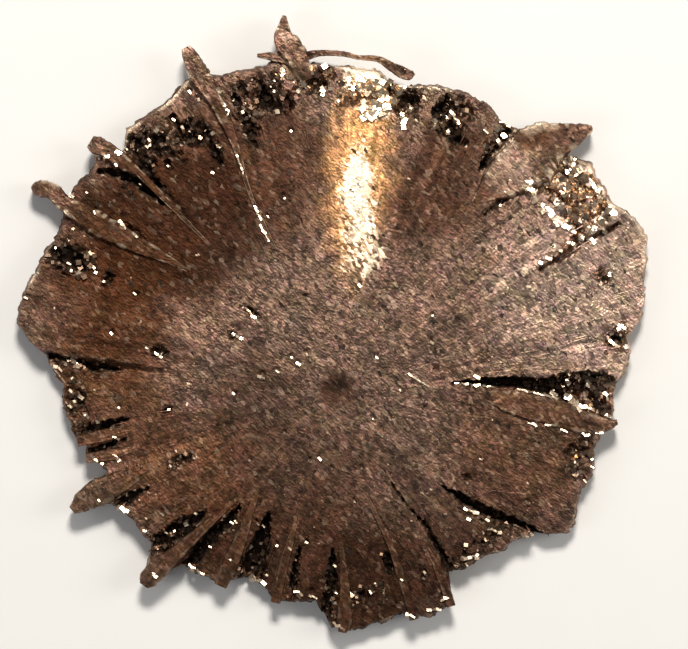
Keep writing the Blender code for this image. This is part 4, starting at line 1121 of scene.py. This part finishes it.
def pyrite(name, finish):
    """Tarnished pyrite: broad tints and mottle, a share of rust, facets in colour and bump, painted shade in
    the hollows, a painted highlight with an amber fringe on the streak, and bare metal wherever the
    attributes edge and bare say, which also carry painted highlights. It is duller where the tarnish
    is thick."""
    clean, rust, fibre_bump, facet_bump, cells, rough = FINISHES[name]
    material, tree, shader, place = new_material(name)
    # sunk carries the painted shade of the hollows; edge and bare carry wear and bare metal together with
    # painted highlights.
    sunk, edge, own = (
        node(tree, "Attribute", attribute_name=label).outputs["Fac"] for label in ("sunk", "edge", "bare")
    )
    tints = {label: colour(getattr(finish, label)) for label in TINT_NAMES}
    tint = effect(tree, "sun_tints", Place=place, **tints)["Colour"]
    streak = effect(tree, "painted_highlight_streak", Place=place)
    fibres = effect(tree, "radial_fibres", Place=place)["Height"]
    lean = vector(tree, "SCALE", (0.0, -1.0, 0.0), streak["Lean"])
    facet = effect(tree, "crystal_facets", Place=place, Cells=cells, Lean=lean)
    mottle = effect(tree, "tarnish_mottle", Place=place)["Shade"]

    rusty = blend(tree, rust, tint, colour(finish.rust))
    # Painted highlight streak: its amber fringe here, its gold core below.
    highlight_haloed = blend(tree, streak["Halo"], rusty, colour(finish.painted_halo_amber))
    mottled = blend(tree, 1.0, highlight_haloed, mottle, "MULTIPLY")
    tone = maths(tree, "MULTIPLY_ADD", facet["Tone"], 0.4, 0.8)
    tone = maths(tree, "MULTIPLY", tone, spread(tree, fibres, 0.3, 0.7, 0.9, 1.1))
    toned = vector(tree, "SCALE", mottled, tone)
    film = node(tree, "ValToRGB", Fac=facet["Hue"])
    stops = film.color_ramp.elements
    stops[0].color, stops[1].color = (1.12, 0.94, 0.84, 1), (1.05, 0.94, 1.06, 1)
    stops.new(0.3).color = (1.0, 1.0, 0.94, 1)
    stops.new(0.7).color = (0.96, 1.06, 0.76, 1)
    filmed = blend(tree, 0.6, toned, film.outputs["Color"], "MULTIPLY")
    worn = maths(tree, "MAXIMUM", maths(tree, "MULTIPLY_ADD", facet["Glint"], 0.06, clean), edge)
    # The streak's painted highlight, as bare metal colour.
    streak_highlight = spread(tree, maths(tree, "MULTIPLY_ADD", facet["Tone"], 0.5, streak["Share"]), 0.4, 0.9)
    bare = maths(tree, "MAXIMUM", maths(tree, "MAXIMUM", worn, streak_highlight), own)
    golden = blend(tree, maths(tree, "MINIMUM", bare, 1.0), filmed, colour(finish.gold))
    # Painted shade: the hollows darken towards the shade colour as they deepen.
    with_painted_shade = blend(tree, maths(tree, "MULTIPLY", sunk, 0.92), golden, colour(finish.painted_shade_colour))
    feed(tree, shader["Base Color"], with_painted_shade)

    shader["Metallic"].default_value = 0.95
    thick = spread(tree, result(tree, "RGBToBW", Color=tint), 0.02, 0.14, 0.14, 0.0)
    rougher = maths(tree, "MULTIPLY_ADD", facet["Tone"], 0.12, maths(tree, "ADD", thick, rough))
    rougher = maths(tree, "MULTIPLY_ADD", facet["Glint"], -0.24, rougher)
    feed(tree, shader["Roughness"], maths(tree, "MAXIMUM", rougher, 0.08))
    bump = result(tree, "Bump", Strength=fibre_bump, Distance=0.2 * MM, Height=fibres)
    bump = result(
        tree, "Bump", Strength=facet_bump, Distance=1.0 / cells, Height=facet["Height"], Normal=bump
    )
    feed(tree, shader["Normal"], bump)
    return material


def pale_card(finish):
    """Matt card with a faint mottle."""
    material, tree, shader, place = new_material("pale_floor")
    mottle = texture(tree, place, 60.0, 3.0, 0.5)["Fac"]
    lighter = [min(1.0, part * 1.05) for part in finish.floor]
    feed(tree, shader["Base Color"], blend(tree, mottle, colour(finish.floor), colour(lighter)))
    shader["Roughness"].default_value = 0.85
    return material


# Operators

class SunOperator:
    """What the operators share: their options, the sun's settings from the scene, and random draws that
    are the same on every run."""

    bl_options = {"REGISTER", "UNDO"}
    seed = FORM_SEED

    def begin(self, context):
        """The settings of the surface, the crystals and the finish, and the draws."""
        if "sun_tints" not in bpy.data.node_groups:
            radial_fibre_group()
            crystal_facet_group()
            mottle_group()
            sun_tint_group()
            painted_highlight_streak_group()
        settings = (getattr(context.scene, name) for name in SETTINGS)
        return *settings, np.random.default_rng(self.seed)


class SUN_OT_disc(SunOperator, bpy.types.Operator):
    """Add the radiating disc in place of its plain solid"""

    bl_idname = "sun.disc"
    bl_label = "Disc"

    def execute(self, context):
        surface, _, finish, chance = self.begin(context)
        points, groups = disc_skin(surface, chance)
        material = pyrite("tarnished_face", finish)
        # sunk carries the painted shade of the hollows, edge carries crest wear and painted highlights.
        piece = add_piece("sun_disc", material, points[:, :3], groups, sunk=points[:, 3], edge=points[:, 4])
        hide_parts(NODE)
        return {"FINISHED"}


class SUN_OT_laths(SunOperator, bpy.types.Operator):
    """Add the laths, spire and plate that stand proud of the face"""

    bl_idname = "sun.laths"
    bl_label = "Raised Laths"

    def execute(self, context):
        _, _, finish, _ = self.begin(context)
        skins = [lath_skin(*lath, 7 * number + 3) for number, lath in enumerate(LATHS.values())]
        points, groups = joined(skins)
        # edge carries the laths' wear, with painted highlights towards the key light.
        add_piece("raised_laths", pyrite("lath_pyrite", finish), points[:, :3], groups, edge=points[:, 3])
        return {"FINISHED"}


class SUN_OT_cubes(SunOperator, bpy.types.Operator):
    """Add the cubic crystals that line pits, crevices and the rim"""

    bl_idname = "sun.cubes"
    bl_label = "Cubic Crystals"
    seed = 21

    def execute(self, context):
        surface, _, finish, chance = self.begin(context)
        beds = []
        for angle, radius, along, across, count, largest, share in CRYSTAL_BEDS:
            count = int(count * CRYSTAL_CROWD)
            beds.append(np.array([
                (radius + along * chance.uniform(-1, 1, count)) * MM,
                angle + np.degrees(across * chance.uniform(-1, 1, count) / radius),
                largest * MM * chance.uniform(0.25, 0.9, count) ** 1.5,
                chance.uniform(0, 1, count) < share,
            ]))
        radius, angle, edge, bare = np.concatenate(beds, axis=1)
        bare = bare * np.clip(1.6 - edge / (0.8 * MM), 0, 0.85)
        radius = np.minimum(radius, rim_radius(angle) - 0.1 * MM)
        x, y = places(angle, radius)
        depth = hollow_depth(x, y, surface)
        z = np.clip(face_height(angle, radius, surface, depth), 0.9 * edge, TOP - CUBE_REACH * edge)
        # Cubes deep in the hollows take the painted shade, bare ones none.
        add_crystals(
            "cubic_crystals", pyrite("cube_pyrite", finish), CUBE, any_turns(chance, len(edge)),
            stacked(x, y, z), stacked(edge, edge, edge),
            sunk=0.75 * painted_shade_share(angle, depth, 2.4 * MM) * (1 - bare), bare=bare,
        )
        return {"FINISHED"}


class SUN_OT_shards(SunOperator, bpy.types.Operator):
    """Add the broken crystals and sparks that shine on the face, the rim and the crevices' sides"""

    bl_idname = "sun.shards"
    bl_label = "Shining Shards"
    seed = 25

    def execute(self, context):
        surface, _, finish, chance = self.begin(context)
        chips = [chips_of(chance, *shard) for shard in SHARDS]
        chips += [chips_of(chance, *spark, *SPARK_SIZE, SPARK_HEADING) for spark in SPARKS]
        x, y, length, width, heading = np.concatenate(chips).T
        angle = np.degrees(np.arctan2(y, x)) % 360
        radius = np.minimum(np.hypot(x, y), rim_radius(angle) + 0.1 * MM)
        x, y = places(angle, radius)
        lit = 0.35 + 0.65 * lit_share(angle)
        tilt = math.tan(math.radians(KEY_TILT)) * (0.4 + 0.6 * lit)
        frames = leaning_frames(heading, chance.normal(0, 0.14, len(x)), chance.normal(tilt, 0.13))

        level = bare_face(angle, np.minimum(radius, rim_radius(angle))) - FACE_SINK
        depth = level - face_height(angle, radius, surface)
        lift = np.zeros(len(x))
        for _, stations in LATHS.values():
            away, back = along_path(x, y, stations)
            lift = np.where(away < 0, np.maximum(lift, back * MM), lift)
        high = np.minimum(level - np.minimum(0.4 * depth, 0.5 * MM) + lift + SHARD_PROUD, TOP)
        tall = np.minimum(high - level + depth + SHARD_PROUD, high)
        centres = stacked(x, y, high) - 0.5 * tall[:, None] * frames[:, :, 2]
        # The shards' bare share grows towards the key light: bare pyrite with a painted highlight.
        add_crystals(
            "shining_shards", pyrite("shard_pyrite", finish), CUBE, frames, centres,
            stacked(length, width, tall), bare=0.8 * lit,
        )
        return {"FINISHED"}


class SUN_OT_fibres(SunOperator, bpy.types.Operator):
    """Add the thin needles that lie along the radius"""

    bl_idname = "sun.fibres"
    bl_label = "Radial Fibres"
    seed = 22

    def execute(self, context):
        surface, crystals, finish, chance = self.begin(context)
        count = crystals.fibre_count
        angle, radius = random_places(chance, count, 5 * MM, 0.985)
        growth = np.clip(radius / (20 * MM), 0.4, 1)
        length = MM * chance.uniform(1.0, 6.0, count) * growth
        width = crystals.fibre_width * chance.uniform(0.35, 1.0, count) * growth
        keep = hollow_depth(*places(angle, radius), surface) < 0.05 * MM
        keep &= radius + length / 2 < rim_radius(angle)
        angle, radius, length, width = (part[keep] for part in (angle, radius, length, width))
        count = len(angle)
        tail, middle, head = (face_height(angle, radius + step * length, surface) for step in (-0.5, 0, 0.5))
        z = np.minimum(np.maximum((tail + head) / 2, middle), TOP - 0.2 * MM) - 0.03 * MM
        heading = angle + chance.normal(0, 3.0, count)
        frames = blade_frames(heading, (head - tail) / length, chance.normal(0, 0.22, count))
        sizes = stacked(length, width, width * chance.uniform(0.3, 0.6, count))
        centres = stacked(*places(angle, radius), z)
        add_crystals("face_fibres", pyrite("fibre_pyrite", finish), OCTAHEDRON, frames, centres, sizes)
        return {"FINISHED"}


class SUN_OT_grains(SunOperator, bpy.types.Operator):
    """Add the small flat crystals that roughen the face"""

    bl_idname = "sun.grains"
    bl_label = "Grains"
    seed = 23

    def execute(self, context):
        surface, crystals, finish, chance = self.begin(context)
        count = crystals.grain_count
        angle, radius = random_places(chance, count, 3 * MM, 0.99)
        size = crystals.grain_size * chance.uniform(0.4, 1.0, count) * np.clip(radius / (18 * MM), 0.5, 1)
        x, y = places(angle, radius)
        depth = hollow_depth(x, y, surface)
        z = np.minimum(face_height(angle, radius, surface, depth) - 0.12 * size, TOP - 0.5 * size)
        heading = SPARK_HEADING + 25 * chance.normal(size=count)
        frames = leaning_frames(heading, chance.normal(0, 0.16, count), chance.normal(0.07, 0.18, count))
        worn = ease((chance.uniform(0, 1, count) - 0.969) / 0.03)  # 0 but for three grains in a hundred
        # Grains in the hollows take the painted shade.
        add_crystals(
            "face_grains", pyrite("grain_pyrite", finish), CUBE, frames, stacked(x, y, z),
            stacked(1.5 * size, 0.9 * size, 0.5 * size), sunk=0.9 * painted_shade_share(angle, depth, 1.2 * MM),
            bare=0.5 * worn,
        )
        return {"FINISHED"}


class SUN_OT_splinters(SunOperator, bpy.types.Operator):
    """Add the short blades that stick out of the rim's wall"""

    bl_idname = "sun.splinters"
    bl_label = "Rim Splinters"
    seed = 24

    def execute(self, context):
        _, crystals, finish, chance = self.begin(context)
        count = crystals.splinter_count
        angle = chance.uniform(0, 360, count)
        rim = rim_radius(angle)
        spans = (0.6, 2.4), (0.25, 0.9), (0.2, 0.6)
        length, width, thick = (MM * chance.uniform(*span, count) for span in spans)
        low, high = RIM_LIFT + SPLINTER_MARGIN, bare_face(angle, rim) - SPLINTER_MARGIN
        z = low + (high - low) * chance.uniform(0, 1, count)
        heading = angle + chance.normal(0, 14, count)
        frames = blade_frames(heading, chance.normal(0, 0.15, count), chance.normal(0, 0.5, count))
        add_crystals(
            "rim_splinters", pyrite("lath_pyrite", finish), OCTAHEDRON, frames,
            stacked(*places(angle, rim - 0.32 * length), z), stacked(length, width, thick),
        )
        return {"FINISHED"}


class SUN_OT_stage(SunOperator, bpy.types.Operator):
    """Add the floor, the soft lights and the camera straight above"""

    bl_idname = "sun.stage"
    bl_label = "Stage"

    def execute(self, context):
        _, _, finish, _ = self.begin(context)
        add_floor(finish)
        add_lights(context.scene)
        add_camera(context.scene)
        return {"FINISHED"}


def add_floor(finish):
    mesh = bpy.data.meshes.new("floor")
    corners = [(x * FLOOR_HALF, y * FLOOR_HALF, 0) for x, y in ((-1, -1), (1, -1), (1, 1), (-1, 1))]
    mesh.from_pydata(corners, [], [(0, 1, 2, 3)])
    mesh.materials.append(pale_card(finish))
    floor = bpy.data.objects.new("floor", mesh)
    bpy.context.scene.collection.objects.link(floor)


def add_lights(scene):
    """A key light beyond the top of the face, broad ones from the left and the right, and a dim grey room."""
    for name, (place, width, height, watts, light_colour) in LIGHTS.items():
        data = bpy.data.lights.new(name, "AREA")
        data.shape = "RECTANGLE"
        data.size = width
        data.size_y = height
        data.energy = watts
        data.color = light_colour
        lamp = bpy.data.objects.new(name, data)
        lamp.location = place
        lamp.rotation_euler = (Vector(place) - Vector(LIT_PLACE)).to_track_quat("Z", "Y").to_euler()
        scene.collection.objects.link(lamp)
    scene.world = bpy.data.worlds.new("soft_room")
    scene.world.use_nodes = True
    room = scene.world.node_tree.nodes["Background"].inputs
    room["Color"].default_value = ROOM_COLOUR
    room["Strength"].default_value = ROOM_STRENGTH


def add_camera(scene):
    data = bpy.data.cameras.new("camera")
    data.lens = data.sensor_width * (CAMERA_HEIGHT - FACE_LEVEL) / VIEW_WIDTH
    data.clip_start = 0.01
    data.clip_end = 10.0
    camera = bpy.data.objects.new("camera", data)
    camera.location = (*VIEW_CENTRE, CAMERA_HEIGHT)
    scene.collection.objects.link(camera)
    scene.camera = camera


class SUN_PT_panel(bpy.types.Panel):
    bl_label = "Pyrite Sun"
    bl_idname = "SUN_PT_panel"
    bl_space_type = "VIEW_3D"
    bl_region_type = "UI"
    bl_category = "Pyrite Sun"

    def draw(self, context):
        for name in SETTINGS:
            box = self.layout.box()
            settings = getattr(context.scene, name)
            for label in settings.__annotations__:
                box.prop(settings, label)
        for operator in OPERATORS:
            self.layout.operator(operator.bl_idname)


SETTINGS = {"sun_surface": SurfaceSettings, "sun_crystals": CrystalSettings, "sun_finish": FinishSettings}
OPERATORS = [
    SUN_OT_disc, SUN_OT_laths, SUN_OT_cubes, SUN_OT_shards, SUN_OT_fibres, SUN_OT_grains, SUN_OT_splinters,
    SUN_OT_stage,
]
CLASSES = [*SETTINGS.values(), *OPERATORS, SUN_PT_panel]


def register():
    for group in CLASSES:
        bpy.utils.register_class(group)
    for name, group in SETTINGS.items():
        setattr(bpy.types.Scene, name, bpy.props.PointerProperty(type=group))


def unregister():
    for name in SETTINGS:
        delattr(bpy.types.Scene, name)
    for group in reversed(CLASSES):
        bpy.utils.unregister_class(group)


def main():
    register()
    bpy.ops.sun.disc()
    bpy.ops.sun.laths()
    bpy.ops.sun.cubes()
    bpy.ops.sun.shards()
    bpy.ops.sun.fibres()
    bpy.ops.sun.grains()
    bpy.ops.sun.splinters()
    bpy.ops.sun.stage()
    bpy.context.scene.view_settings.view_transform = "Standard"


if __name__ == "__main__":
    main()
